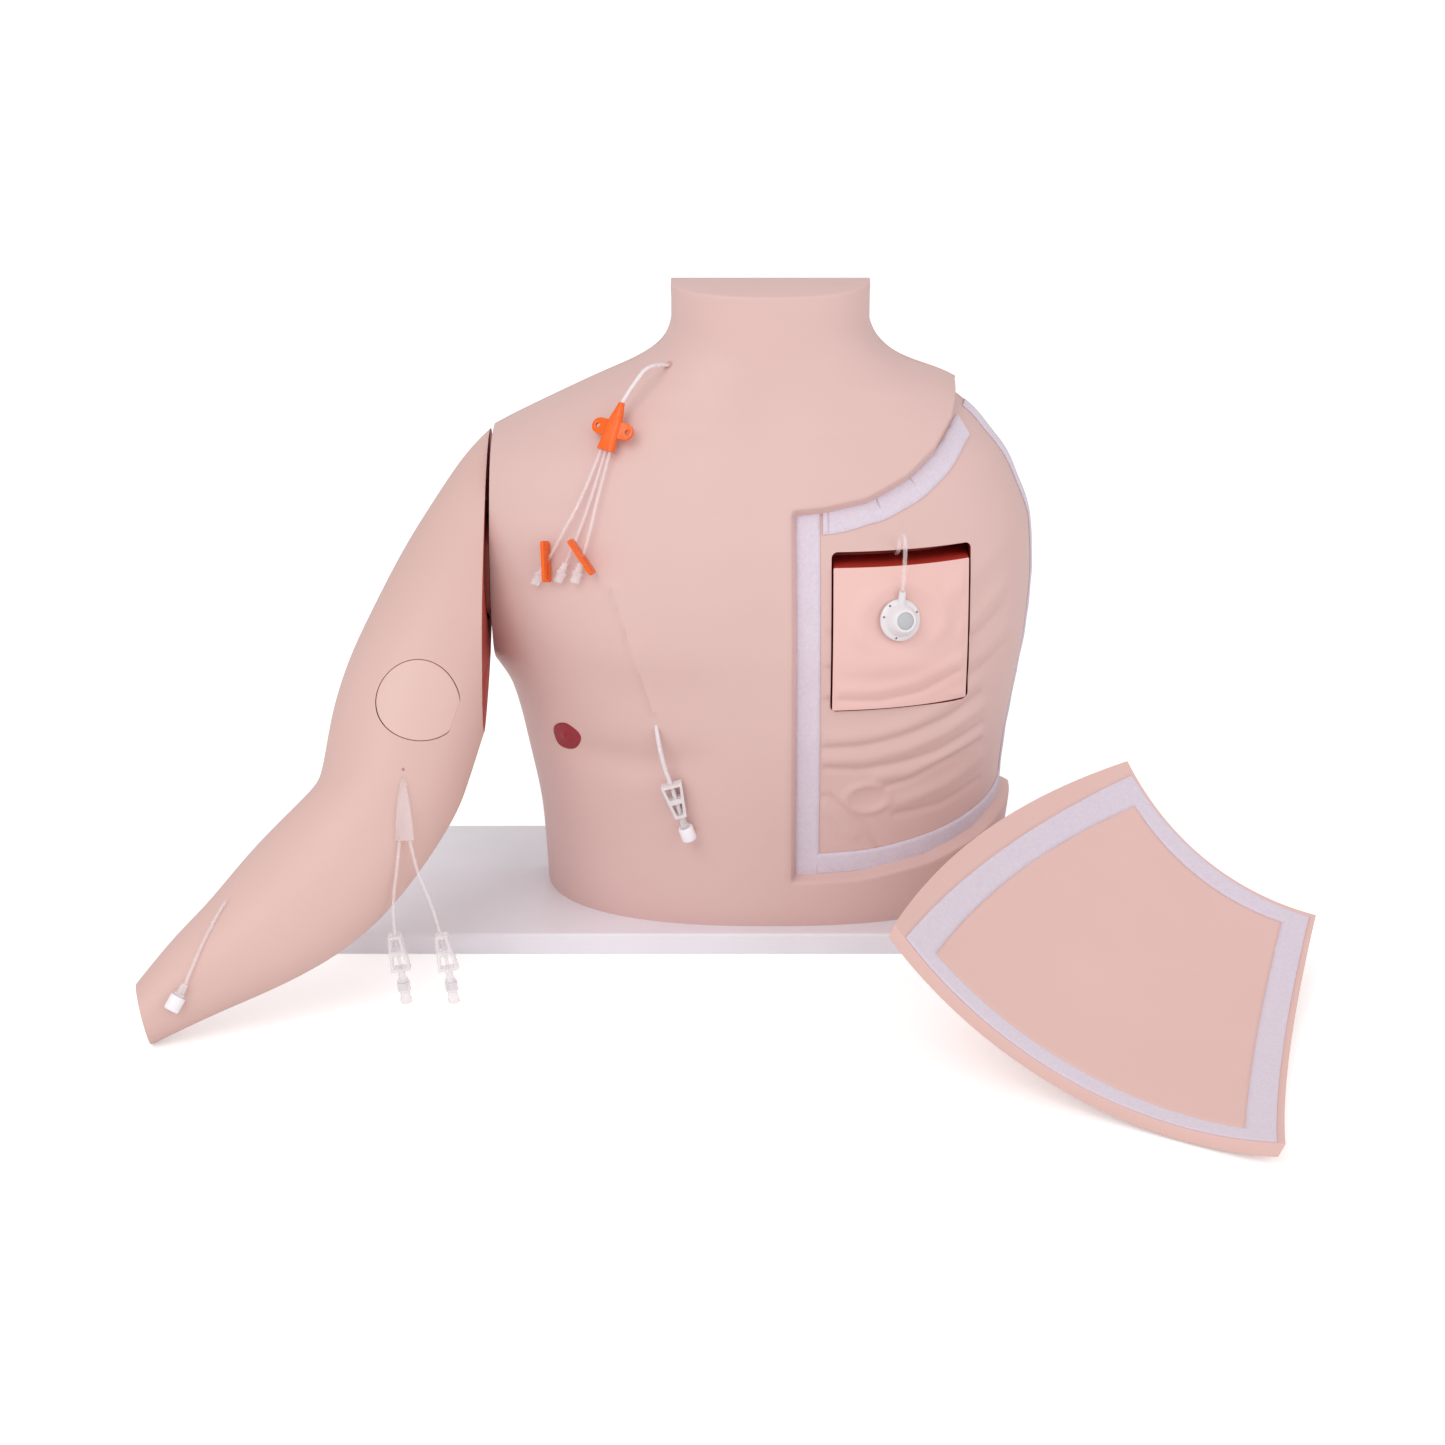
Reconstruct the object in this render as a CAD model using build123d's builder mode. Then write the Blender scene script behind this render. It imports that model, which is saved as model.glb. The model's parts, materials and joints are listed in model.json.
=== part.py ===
"""Central line trainer: a moulded half torso on a board, with a swinging right arm, a removable
chest cover, and catheters of the kinds that nurses practise on."""
import os
from math import atan2, cos, degrees, exp, hypot, pi, radians, sin, tan

from build123d import *

os.makedirs("parts", exist_ok=True)

# Driving dimensions, in millimetres. X is the body's width, +Y its back, +Z up.
BOARD_THICK = 14.0
BOARD_LEFT = -306.0
BOARD_RIGHT = 284.0
BOARD_FRONT = -94.5
BOARD_BACK = 99.0
BOARD_CHAMFER = 1.5
BOARD_CORNER = 6.0

TORSO_HEIGHT = 425.0
TORSO_WIDTH = 375.0
TORSO_DEPTH = 122.0
BACK_Y = 20.0
SKIN_WALL = 4.5
PANEL_THICK = 4.0
FIT = 0.3

ARM_FACE_X = -186.0
ARM_GAP = 3.0
ARM_AXIS_X = -190.0
PIVOT_Y = -28.0
PIVOT_Z = 254.0
ARM_SWING = 40.0

JOINT_WALL = 6.0
TORSO_FLOOR = 6.0

RECESS_DEPTH = 9.5
TAPE_THICK = 1.2
TAPE_WIDTH = 16.0
TAPE_INSET = 1.5
TAPE_GAP = 0.2
TAPE_LIFT = 0.8
NECK_LEAN = (0.55, 0.9)
NECK_AWAY = (0.6, -1.15, 0.72)
STRIP_STEPS = 28

# The recess for the chest cover, seen from the front as X and height above the table.
STERNUM_FOOT = (14.0, 46.0)
NECKLINE = [(12.0, 309.0), (35.0, 311.0), (62.0, 316.0), (88.0, 328.0), (107.0, 343.0),
            (119.0, 359.0), (126.0, 380.0)]
HEM = [STERNUM_FOOT, (62.0, 47.5), (110.0, 55.0), (145.0, 66.0), (172.0, 82.0)]

POCKET_LEFT = 39.5
POCKET_RIGHT = 131.5
POCKET_LOW = 174.0
POCKET_HIGH = 280.0
POCKET_DEPTH = 26.0
POCKET_CORNER = 4.0
TRAY_WALL = 3.0
TRAY_REBATE = 1.5
TRAY_SECTIONS = 14
INSERT_HEIGHT = 96.0
INSERT_PROUD = 2.0
INSERT_CLEAR = 1.0

BOLT_RADIUS = 5.0
BOLT_HEAD_RADIUS = 9.0
BOLT_HEAD_THICK = 3.0
RUNNING = 0.05
DISC_RADIUS = 32.0
PLATE_RADIUS = 35.0
PLATE_THICK = 5.0
WASHER_RADIUS = 16.0
WASHER_THICK = 2.0
NUT_RADIUS = 8.0
NUT_LENGTH = 9.0
WING_REACH = 20.0

SCREW_RADIUS = 2.5
SCREW_HEAD_RADIUS = 5.0
BOSS_RADIUS = 6.0
BOSS_LENGTH = 16.0
BOSS_HEIGHTS = [(26.0, 0.0), (225.0, RECESS_DEPTH), (412.0, 0.0)]
SCREW_HEAD_THICK = 2.5
PANEL_SCREW_LENGTH = 12.0
BOARD_SCREW_SPOTS = [(-110.0, 4.0), (-110.0, -40.0), (110.0, 4.0), (110.0, -40.0)]

ARM_WALL = 4.0
PAD_RADIUS = 27.5
PAD_THICK = 8.0
PAD_OUT = 39.0
PAD_ALONG = 110.0
PAD_CLEAR = 0.5
PAD_FACE = 43.0

# The arm's sections in its own plane: the two ends of each width as out from the torso and along
# from the shoulder bolt, then half the thickness.
ARM_STATIONS = [
    ((-5.0, -104.0), (-55.0, -98.0), 24.0),
    ((17.0, -78.0), (-55.0, -72.0), 34.0),
    ((39.0, -41.0), (-52.0, -38.0), 41.0),
    ((58.0, -5.0), (-46.0, -3.0), 44.0),
    ((77.0, 38.0), (-32.0, 42.0), 46.0),
    ((90.0, 72.0), (-14.0, 78.0), 45.0),
    ((99.0, 109.0), (-1.0, 117.0), 43.0),
    ((104.0, 145.0), (9.0, 153.0), 41.0),
    ((115.0, 165.0), (24.0, 188.0), 39.0),
    ((145.0, 198.0), (66.0, 247.0), 35.0),
    ((173.0, 234.0), (119.0, 285.0), 29.0),
    ((196.0, 261.0), (163.0, 306.0), 23.0),
    ((228.0, 305.0), (213.0, 331.0), 15.5),
]
WRIST_CUT = ((216.0, 289.0), (206.0, 325.0))

COVER_THICK = 9.0
COVER_ROUND = 240.0
COVER_BEND = 1000.0
COVER_CORNERS = [(-68.0, -141.0), (96.0, -157.0), (120.0, 152.0), (-146.0, 141.0)]
COVER_BOWS = [8.0, -19.0, 6.0, 0.0]
COVER_AT = (233.0, -198.0, 33.0)
COVER_ACROSS = (-0.806, 0.439, 0.398)
COVER_FACING = (0.301, -0.274, 0.913)
COVER_TAPE_INSETS = [4.0, 11.0, 4.0, 4.0]

# Bend radius of a tube at a corner: this share of the shorter run beside it, as a tangent length.
BEND_SHARE = 0.45

PORT_AT = (84.2, -88.6, 236.9)
PORT_FACING = (0.32, -0.92, 0.22)
PORT_RADIUS = 13.8
PORT_SEAT = 1.0
PORT_CLEAR = 0.2
PORT_PROFILE = [(13.8, 0.0), (13.8, 2.2), (12.6, 3.2), (11.0, 3.6), (8.4, 9.6), (7.2, 11.0)]
SEPTUM_RADIUS = 5.8
SEPTUM_DEPTH = 3.0
SUTURE_RADIUS = 0.8
SUTURE_REACH = 12.2
SUTURE_TURNS = [20.0, 125.0, 165.0, 250.0]
STEM_RADIUS = 2.2
PORT_TUBE = [(85.5, -88.8, 256.4), (87.5, -94.8, 293.5), (84.0, -76.2, 293.0),
             (82.5, -76.2, 273.6), (80.5, -38.0, 273.0)]
PORT_TUBE_RADIUS = 1.4

CVC_TUBE = [(-62.1, -13.4, 387.8), (-78.2, -33.6, 396.2), (-89.5, -41.5, 384.0),
            (-97.4, -45.8, 371.6)]
CVC_TUBE_RADIUS = 1.3
CVC_BASE = (-109.0, -60.6, 341.0)
HUB_NOSE_RADIUS = 2.0
HUB_LENGTH = 33.0
CVC_LUMENS = [
    [(-121.4, -68.4, 318.0), (-136.4, -77.4, 292.2), (-148.0, -77.0, 270.0)],
    [(-116.6, -69.6, 316.2), (-126.0, -77.6, 291.2), (-134.1, -82.3, 274.4)],
    [(-112.8, -71.8, 316.8), (-118.6, -82.8, 292.3), (-124.0, -86.0, 275.5)],
]
CVC_ENDS = [(-154.6, -77.4, 258.6), (-139.8, -83.6, 259.9), (-129.8, -88.0, 258.0)]
SLIDE_LENGTH = 27.0
SLIDE_WIDTH = 10.0
SLIDE_THICK = 2.2
SLIDE_SLOT = 1.6
SLIDE_BACK = 4.0
SLIDE_LIFT = 2.6
SLIDES = {0: ((0.05, -0.36, -0.93), (-0.39, -0.91, 0.16)),
          2: ((0.56, -0.3, -0.77), (-0.25, -0.95, 0.19))}
LUMEN_RADIUS = 1.1
LUMEN_SPREAD = 3.4

TUNNELLED_TUBE = [(-77.0, -84.0, 173.5), (-75.8, -101.6, 166.0), (-71.0, -98.9, 138.5),
                  (-65.8, -97.6, 124.2), (-59.6, -95.0, 101.0)]
TUNNELLED_END = (-54.0, -93.6, 84.0)
TUNNELLED_RADIUS = 1.5

PICC_EXIT = [(-238.5, -150.5, 161.0), (-236.8, -161.8, 154.6)]
PICC_BODY = [(-236.8, -161.8, 154.6), (-235.8, -174.2, 137.4), (-235.2, -180.2, 119.0)]
PICC_BODY_HALVES = [(1.4, 1.4), (4.6, 2.4), (6.2, 2.8)]
PICC_LUMENS = [
    [(-239.8, -187.0, 104.0), (-243.4, -190.0, 80.0), (-243.2, -191.0, 58.0), (-239.6, -190.4, 33.0)],
    [(-228.6, -186.0, 103.0), (-219.2, -189.0, 80.0), (-213.6, -190.6, 60.0), (-208.9, -190.2, 33.0)],
]
PICC_ENDS = [(-237.2, -190.0, 12.0), (-206.4, -190.0, 12.6)]
PICC_LUMEN_RADIUS = 1.1

MIDLINE_TUBE = [(-337.5, -188.0, 82.5), (-345.4, -198.0, 90.6), (-355.2, -211.4, 76.4),
                (-364.4, -225.6, 59.6), (-371.0, -236.6, 44.4)]
MIDLINE_END = (-388.0, -251.0, 16.0)
MIDLINE_RADIUS = 1.1

CLAMP_LENGTH = 25.0
CLAMP_WIDE = 13.0
CLAMP_NARROW = 8.0
CLAMP_THICK = 7.0
CLAMP_STRAP = 1.8
LUER_PROFILE = [(2.0, 0.0), (2.6, 6.0), (3.6, 7.0), (3.6, 8.5), (3.0, 8.5), (3.0, 14.0)]
LUER_SPIGOT = 3.0
LUER_SHOULDER = 8.5
LUER_LENGTH = 14.0
CAP_PROFILE = [(4.6, 0.0), (5.0, 0.8), (5.0, 9.2), (4.4, 10.0)]
SLIM_CAP_PROFILE = [(4.2, 0.0), (4.2, 6.0), (3.2, 7.0), (3.2, 11.0), (3.8, 12.0), (3.8, 14.5)]
CAP_START = 8.7

# The torso's level sections: share of the height, right and left half widths and depth,
# as shares of the body's half width and depth.
STATIONS = [
    (0.000, 0.827, 0.848, 0.828),
    (0.122, 0.843, 0.896, 0.877),
    (0.247, 0.891, 0.920, 0.951),
    (0.353, 0.949, 0.955, 0.992),
    (0.447, 1.080, 0.987, 0.995),
    (0.541, 1.170, 1.000, 0.967),
    (0.624, 1.190, 0.989, 0.902),
    (0.694, 1.150, 0.936, 0.811),
    (0.741, 1.075, 0.885, 0.738),
    (0.781, 0.925, 0.816, 0.664),
    (0.814, 0.775, 0.752, 0.607),
    (0.849, 0.608, 0.640, 0.549),
    (0.878, 0.464, 0.469, 0.508),
    (0.908, 0.379, 0.384, 0.475),
    (0.941, 0.352, 0.352, 0.459),
    (1.000, 0.352, 0.352, 0.434),
]
ROUNDNESS = 2.4
SECTION_POINTS = 17
SLOPE_PROBE = 4.0
LEAST_DEPTH_SHARE = 0.75
SECTION_STEP = 30.0
SHOULDER_STEP = 12.0
SHOULDER_START = 300.0
ARM_SECTION_POINTS = 12
SECTION_SHARES = [i / (SECTION_POINTS - 1) for i in range(SECTION_POINTS)]
RING_SHARES = [i / ARM_SECTION_POINTS for i in range(ARM_SECTION_POINTS + 1)]


def pectoral(x, z):
    """How far the chest muscle stands out in front of the plain barrel of the torso."""
    across = (abs(x) - 85.0) / 55.0
    up = (z - BOARD_THICK - 205.0) / (48.0 if z > BOARD_THICK + 205.0 else 30.0)
    return 7.0 * exp(-across * across - up * up)


def steady_curve(xs, ys, x):
    """A smooth curve through the given points that never overshoots them."""
    gaps = [(xs[k + 1] - xs[k], (ys[k + 1] - ys[k]) / (xs[k + 1] - xs[k]))
            for k in range(len(xs) - 1)]
    slopes = [gaps[0][1]]
    for (h1, s1), (h2, s2) in zip(gaps, gaps[1:]):
        w1, w2 = 2 * h2 + h1, h2 + 2 * h1
        slopes.append((w1 + w2) / (w1 / s1 + w2 / s2) if s1 * s2 > 0 else 0.0)
    slopes.append(gaps[-1][1])
    k = max(i for i in range(len(gaps)) if i == 0 or xs[i] <= x)
    h, t = gaps[k][0], (x - xs[k]) / gaps[k][0]
    return (ys[k] * (1 + 2 * t) * (1 - t) ** 2 + slopes[k] * h * t * (1 - t) ** 2
            + ys[k + 1] * t * t * (3 - 2 * t) + slopes[k + 1] * h * t * t * (t - 1))


def body_size(height):
    """Right and left half widths and depth of the torso at a height over the board."""
    shares = [row[0] * TORSO_HEIGHT for row in STATIONS]
    scales = (TORSO_WIDTH / 2, TORSO_WIDTH / 2, TORSO_DEPTH)
    return [steady_curve(shares, [row[i + 1] for row in STATIONS], height) * scales[i]
            for i in range(3)]


def section_heights():
    """Heights over the board of the loft's sections: closer together over the shoulders."""
    heights = [k * SECTION_STEP for k in range(int(SHOULDER_START / SECTION_STEP) + 1)]
    count = round((TORSO_HEIGHT - SHOULDER_START) / SHOULDER_STEP)
    step = (TORSO_HEIGHT - SHOULDER_START) / count
    return heights + [SHOULDER_START + step * (k + 1) for k in range(count)]


def inset_row(height, inset):
    """One level section moved inwards by inset, square to the outline: z, right, left, depth."""
    right, left, depth = body_size(height)
    low, high = max(height - SLOPE_PROBE, 0.0), min(height + SLOPE_PROBE, TORSO_HEIGHT)
    below, above = body_size(low), body_size(high)
    run = (above[0] + above[1] - below[0] - below[1]) / 2
    length = hypot(run, high - low)
    sideways, upwards = (high - low) / length, -run / length
    if height <= 0.0 or height >= TORSO_HEIGHT:
        sideways, upwards = 1.0, 0.0
    z = BOARD_THICK + height - inset * upwards
    return (z, right - inset * sideways, left - inset * sideways,
            depth - inset * max(sideways, LEAST_DEPTH_SHARE))


def body_stations(inset):
    """Level sections of the torso's skin moved inwards by inset."""
    rows = [inset_row(height, inset) for height in section_heights()]
    z, *rest = rows[-1]
    return rows[:-1] + [(min(z, BOARD_THICK + TORSO_HEIGHT - inset), *rest)]


def torso_form(inset, back=0.0, floor=0.0, top=None):
    """The torso's solid form at an inset from the skin, drawn out behind the back by back."""
    rows = body_stations(inset)[:top]
    with BuildPart() as form:
        for k, (z, right, left, depth) in enumerate(rows):
            height = z + floor if k == 0 else z
            with BuildSketch(Plane.XY.offset(height)):
                with BuildLine():
                    front = []
                    for i in range(SECTION_POINTS):
                        turn = pi * SECTION_SHARES[i] - pi / 2
                        half = right if turn < 0 else left
                        reach = abs(sin(turn)) ** (2 / ROUNDNESS) * (-1 if turn < 0 else 1)
                        x = half * reach
                        y = BACK_Y - depth * max(cos(turn), 0.0) ** (2 / ROUNDNESS)
                        fade = max(cos(turn), 0.0)
                        front.append(Vector(x, y - pectoral(x, z) * fade))
                    front[0] = Vector(-right, BACK_Y)
                    front[-1] = Vector(left, BACK_Y)
                    add(Edge.make_spline(front, [Vector(0, -1), Vector(0, 1)],
                                         parameters=SECTION_SHARES))
                    if back > 0:
                        Polyline((left, BACK_Y), (left, BACK_Y + back),
                                 (-right, BACK_Y + back), (-right, BACK_Y))
                    else:
                        Line((left, BACK_Y), (-right, BACK_Y))
                make_face()
        loft()
        split(bisect_by=Plane.YZ.offset(ARM_FACE_X + inset),
              keep=Keep.TOP)
    return form.part


def front_prism(outline):
    """A deep block whose front view is the closed outline."""
    with BuildPart() as block:
        extrude(outline, amount=250, both=True)
    return block.part


def front_view(points):
    """A closed straight-sided outline in the front view."""
    with BuildSketch(Plane.XZ) as view:
        with BuildLine():
            Polyline(*points, close=True)
        make_face()
    return view.sketch


def arcs(points):
    """A chain of arcs through the points, each over three of them."""
    for first, middle, last in zip(points[::2], points[1::2], points[2::2]):
        ThreePointArc(first, middle, last)


def recess_outline():
    """Front view of the recess, run past the skyline at the shoulder and the flank."""
    with BuildSketch(Plane.XZ) as view:
        with BuildLine():
            Line(STERNUM_FOOT, NECKLINE[0])
            arcs(NECKLINE)
            Polyline(NECKLINE[-1], (NECKLINE[-1][0] + 8, 420), (260, 420), (260, 110), HEM[-1])
            arcs(HEM)
        make_face()
    return view.sketch


def backing_outline(grow):
    """Front view of the wall behind the recess, grow wider than the recess on each side."""
    foot = (STERNUM_FOOT[0] - grow, STERNUM_FOOT[1] - grow)
    neck = [(x - grow, z + grow) for x, z in NECKLINE]
    hem = [(x, z - grow) for x, z in HEM[:0:-1]]
    return front_view([foot] + neck + [(neck[-1][0] + 8, 430), (260, 430), (260, 110)] + hem)


def pocket_outline(margin=0.0, high=POCKET_HIGH):
    """Front view of the square pocket, grown by margin, up to a given height."""
    with BuildSketch(Plane.XZ) as view:
        with Locations(((POCKET_LEFT + POCKET_RIGHT) / 2, (POCKET_LOW + high) / 2)):
            RectangleRounded(POCKET_RIGHT - POCKET_LEFT + 2 * margin,
                             high - POCKET_LOW + 2 * margin, POCKET_CORNER + max(margin, -2.0))
    return view.sketch


def slab(front, back):
    """Everything between two upright planes that face the front."""
    with BuildPart() as block:
        with Locations((0, (front + back) / 2, TORSO_HEIGHT / 2)):
            Box(900, back - front, 1200)
    return block.part


def boss_spots():
    """Front view places of the screws that hold the back panel: low, middle and neck, each side."""
    reach = SKIN_WALL + BOSS_RADIUS - 2.0
    limit = -ARM_FACE_X - JOINT_WALL - BOSS_RADIUS + 2.0
    spots = []
    for height, depth in BOSS_HEIGHTS:
        right, left, _ = body_size(height)
        spots += [(-min(right - reach, limit), BOARD_THICK + height),
                  (left - reach - depth, BOARD_THICK + height)]
    return spots


def half_torso(forms, fitted):
    """The moulded shell: front skin, wall behind the recess, arm joint wall and floor."""
    backing = front_prism(backing_outline(SKIN_WALL))
    with BuildPart() as shell:
        add(forms["skin"])
        add(forms["inside"] - backing, mode=Mode.SUBTRACT)
        add(forms["deep"] & backing, mode=Mode.SUBTRACT)
        with BuildSketch(Plane.XZ.offset(-BACK_Y)):
            with Locations(*boss_spots()):
                Circle(BOSS_RADIUS)
        extrude(amount=BOSS_LENGTH)
        add(front_prism(recess_outline()) - forms["recess"], mode=Mode.SUBTRACT)
        add(front_prism(pocket_outline()) & slab(-200, BACK_Y - 40), mode=Mode.SUBTRACT)
        with BuildSketch(Plane.YZ.offset(ARM_FACE_X)):
            with Locations((PIVOT_Y, PIVOT_Z)):
                Circle(BOLT_RADIUS + RUNNING)
        extrude(amount=JOINT_WALL * 2, both=True, mode=Mode.SUBTRACT)
        with BuildSketch(Plane.XZ.offset(-BACK_Y)):
            with Locations(*boss_spots()):
                Circle(SCREW_RADIUS)
        extrude(amount=PANEL_SCREW_LENGTH, mode=Mode.SUBTRACT)
        with BuildSketch(Plane.XY.offset(BOARD_THICK)):
            with Locations(*BOARD_SCREW_SPOTS):
                Circle(SCREW_RADIUS)
        extrude(amount=TORSO_FLOOR, mode=Mode.SUBTRACT)
        add(fitted, mode=Mode.SUBTRACT)
    return shell.part


def panel(forms):
    """The flat plate that closes the back, in the outline of the skin's back edge."""
    rows = body_stations(0)
    right = [(-row[1], row[0]) for row in rows]
    left = [(row[2], row[0]) for row in rows]
    with BuildPart() as plate:
        with BuildSketch(Plane.XZ.offset(-BACK_Y)):
            with BuildLine():
                Line(right[0], left[0])
                Spline(*left)
                Line(left[-1], right[-1])
                Spline(*right[::-1])
            make_face()
        extrude(amount=-PANEL_THICK)
        split(bisect_by=Plane.YZ.offset(ARM_FACE_X), keep=Keep.TOP)
        add(front_prism(recess_outline()) - forms["recess"], mode=Mode.SUBTRACT)
        with BuildSketch(Plane.XZ.offset(-BACK_Y - PANEL_THICK)):
            with Locations(*boss_spots()):
                Circle(SCREW_RADIUS)
        extrude(amount=PANEL_THICK, mode=Mode.SUBTRACT)
    return plate.part


def panel_screws():
    """Six pan-head screws through the back panel into the shell's bosses."""
    with BuildPart() as screws:
        with BuildSketch(Plane.XZ.offset(-BACK_Y - PANEL_THICK)):
            with Locations(*boss_spots()):
                Circle(SCREW_HEAD_RADIUS)
        extrude(amount=-SCREW_HEAD_THICK)
        with BuildSketch(Plane.XZ.offset(-BACK_Y - PANEL_THICK)):
            with Locations(*boss_spots()):
                Circle(SCREW_RADIUS)
        extrude(amount=PANEL_THICK + PANEL_SCREW_LENGTH)
    return screws.part


def board():
    """The white board that the torso stands on, with countersunk holes from below."""
    width, depth = BOARD_RIGHT - BOARD_LEFT, BOARD_BACK - BOARD_FRONT
    centre = ((BOARD_LEFT + BOARD_RIGHT) / 2, (BOARD_FRONT + BOARD_BACK) / 2)
    with BuildPart() as plate:
        with BuildSketch():
            with Locations(centre):
                RectangleRounded(width, depth, BOARD_CORNER)
        extrude(amount=BOARD_THICK)
        chamfer(plate.faces().sort_by(Axis.Z)[-1].edges(), BOARD_CHAMFER)
        with Locations(*[Location((x, y, 0), (180, 0, 0)) for x, y in BOARD_SCREW_SPOTS]):
            CounterSinkHole(SCREW_RADIUS, SCREW_HEAD_RADIUS + FIT, BOARD_THICK)
    return plate.part


def board_screws():
    """Four countersunk screws up through the board into the torso's floor."""
    length = BOARD_THICK + TORSO_FLOOR - FIT
    profile = [(SCREW_HEAD_RADIUS, 0.0), (SCREW_RADIUS, SCREW_HEAD_RADIUS - SCREW_RADIUS),
               (SCREW_RADIUS, length)]
    return Compound([round_piece(Plane((x, y, 0)), profile) for x, y in BOARD_SCREW_SPOTS])


def port_tray(port_line):
    """The dark red tray let into the chest wall, open to the front."""
    floor_inset = RECESS_DEPTH + POCKET_DEPTH
    top = TRAY_SECTIONS
    floor_form = torso_form(floor_inset, back=10, top=top)
    back_form = torso_form(floor_inset + TRAY_WALL, back=10, top=top)
    block = front_prism(pocket_outline(TRAY_WALL)) & slab(-200, 0)
    hollow = (front_prism(pocket_outline()) & slab(-250, 0)) - floor_form
    with BuildPart() as tray:
        add(block & torso_form(RECESS_DEPTH + SKIN_WALL - TRAY_REBATE, top=top))
        add(back_form, mode=Mode.SUBTRACT)
        add(hollow, mode=Mode.SUBTRACT)
        add(port_line, mode=Mode.SUBTRACT)
    return tray.part


def port_insert(port):
    """The soft skin block that carries the port, loose in its tray with a slot left above it."""
    top = TRAY_SECTIONS
    face = torso_form(RECESS_DEPTH - INSERT_PROUD, top=top)
    seat = torso_form(RECESS_DEPTH + POCKET_DEPTH - FIT, back=10, top=top)
    outline = pocket_outline(-INSERT_CLEAR, high=POCKET_LOW + INSERT_HEIGHT + 2 * INSERT_CLEAR)
    with BuildPart() as block:
        add(front_prism(outline) & slab(-200, 0) & face)
        add(seat, mode=Mode.SUBTRACT)
        with BuildSketch(port_plane()):
            Circle(PORT_RADIUS + PORT_CLEAR)
        extrude(amount=PORT_RADIUS, mode=Mode.SUBTRACT)
        add(port, mode=Mode.SUBTRACT)
    return block.part


def port_plane():
    """The floor of the port's shallow seat in the insert, facing out of it."""
    facing = Plane(PORT_AT, x_dir=(-PORT_FACING[1], PORT_FACING[0], 0), z_dir=PORT_FACING)
    return facing.offset(-PORT_SEAT)


def arm_direction(out, along):
    """A direction in the arm's own plane, in the torso's frame."""
    swing = radians(ARM_SWING)
    return Vector(-out, -along * sin(swing), -along * cos(swing))


def arm_point(out, along, forward=0.0):
    """A place in the arm's plane, and forward of it towards the viewer."""
    swing = radians(ARM_SWING)
    ahead = Vector(0, -cos(swing), sin(swing))
    return Vector(ARM_AXIS_X, PIVOT_Y, PIVOT_Z) + arm_direction(out, along) + ahead * forward


def arm_form(inset):
    """The bent arm as a loft through its sections, all moved inwards by inset."""
    with BuildPart() as form:
        for outer, inner, half_thick in ARM_STATIONS:
            across = (outer[0] - inner[0], outer[1] - inner[1])
            half_width = hypot(*across) / 2
            centre = arm_point((outer[0] + inner[0]) / 2, (outer[1] + inner[1]) / 2)
            plane = Plane(centre, x_dir=arm_direction(*across),
                          z_dir=arm_direction(-across[1], across[0]))
            ring = [Vector(cos(2 * pi * share) * (half_width - inset),
                           sin(2 * pi * share) * (half_thick - inset))
                    for share in RING_SHARES[:-1]]
            with BuildSketch(plane):
                with BuildLine():
                    add(Edge.make_spline(ring, periodic=True, parameters=RING_SHARES))
                make_face()
        loft()
        face = ARM_FACE_X - ARM_GAP - (PLATE_THICK + JOINT_WALL if inset else 0)
        split(bisect_by=Plane.YZ.offset(face), keep=Keep.BOTTOM)
        (near_out, near_along), (far_out, far_along) = WRIST_CUT
        side = arm_direction(near_out - far_out, near_along - far_along)
        end = arm_direction(far_along - near_along, near_out - far_out).normalized()
        centre = arm_point((near_out + far_out) / 2, (near_along + far_along) / 2)
        split(bisect_by=Plane(centre - end * inset, x_dir=side, z_dir=end), keep=Keep.BOTTOM)
    return form.part


def pad_plane(forward):
    """The round pad's plane, facing the viewer, forward of the arm's mid plane."""
    swing = radians(ARM_SWING)
    return Plane(arm_point(PAD_OUT, PAD_ALONG, forward), x_dir=(1, 0, 0),
                 z_dir=(0, -cos(swing), sin(swing)))


def pad_block(radius, low, high):
    """A round block square to the arm at the pad, between two forward distances."""
    with BuildPart() as block:
        with BuildSketch(pad_plane(low)):
            Circle(radius)
        extrude(amount=high - low)
    return block.part


def arm(tubes):
    """The hollow moulded arm, with a flat shoulder face and a round cup for the pad."""
    skin = arm_form(0)
    cup_floor = PAD_FACE - PAD_THICK - ARM_WALL
    with BuildPart() as shell:
        add(skin)
        add(arm_form(ARM_WALL) - pad_block(PAD_RADIUS + 4, cup_floor - 4, 80),
            mode=Mode.SUBTRACT)
        add(pad_block(PAD_RADIUS, cup_floor, 80), mode=Mode.SUBTRACT)
        with BuildSketch(Plane.YZ.offset(ARM_FACE_X - ARM_GAP)):
            with Locations((PIVOT_Y, PIVOT_Z)):
                Circle(PLATE_RADIUS + FIT)
        extrude(amount=-PLATE_THICK, mode=Mode.SUBTRACT)
        add(tubes, mode=Mode.SUBTRACT)
    return shell.part


def arm_pad():
    """The round skin pad over the upper arm vein, flush with the arm."""
    cup_floor = PAD_FACE - PAD_THICK - ARM_WALL
    with BuildPart() as pad:
        add(arm_form(0))
        add(pad_block(PAD_RADIUS - PAD_CLEAR, cup_floor + FIT, 80), mode=Mode.INTERSECT)
    return pad.part


def turned(radius, start, length, hole=0.0):
    """A round piece on the shoulder's axis, from start towards the torso."""
    with BuildPart() as piece:
        with BuildSketch(Plane.YZ.offset(start)):
            with Locations((PIVOT_Y, PIVOT_Z)):
                Circle(radius)
                if hole:
                    Circle(hole, mode=Mode.SUBTRACT)
        extrude(amount=length)
    return piece.part


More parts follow.
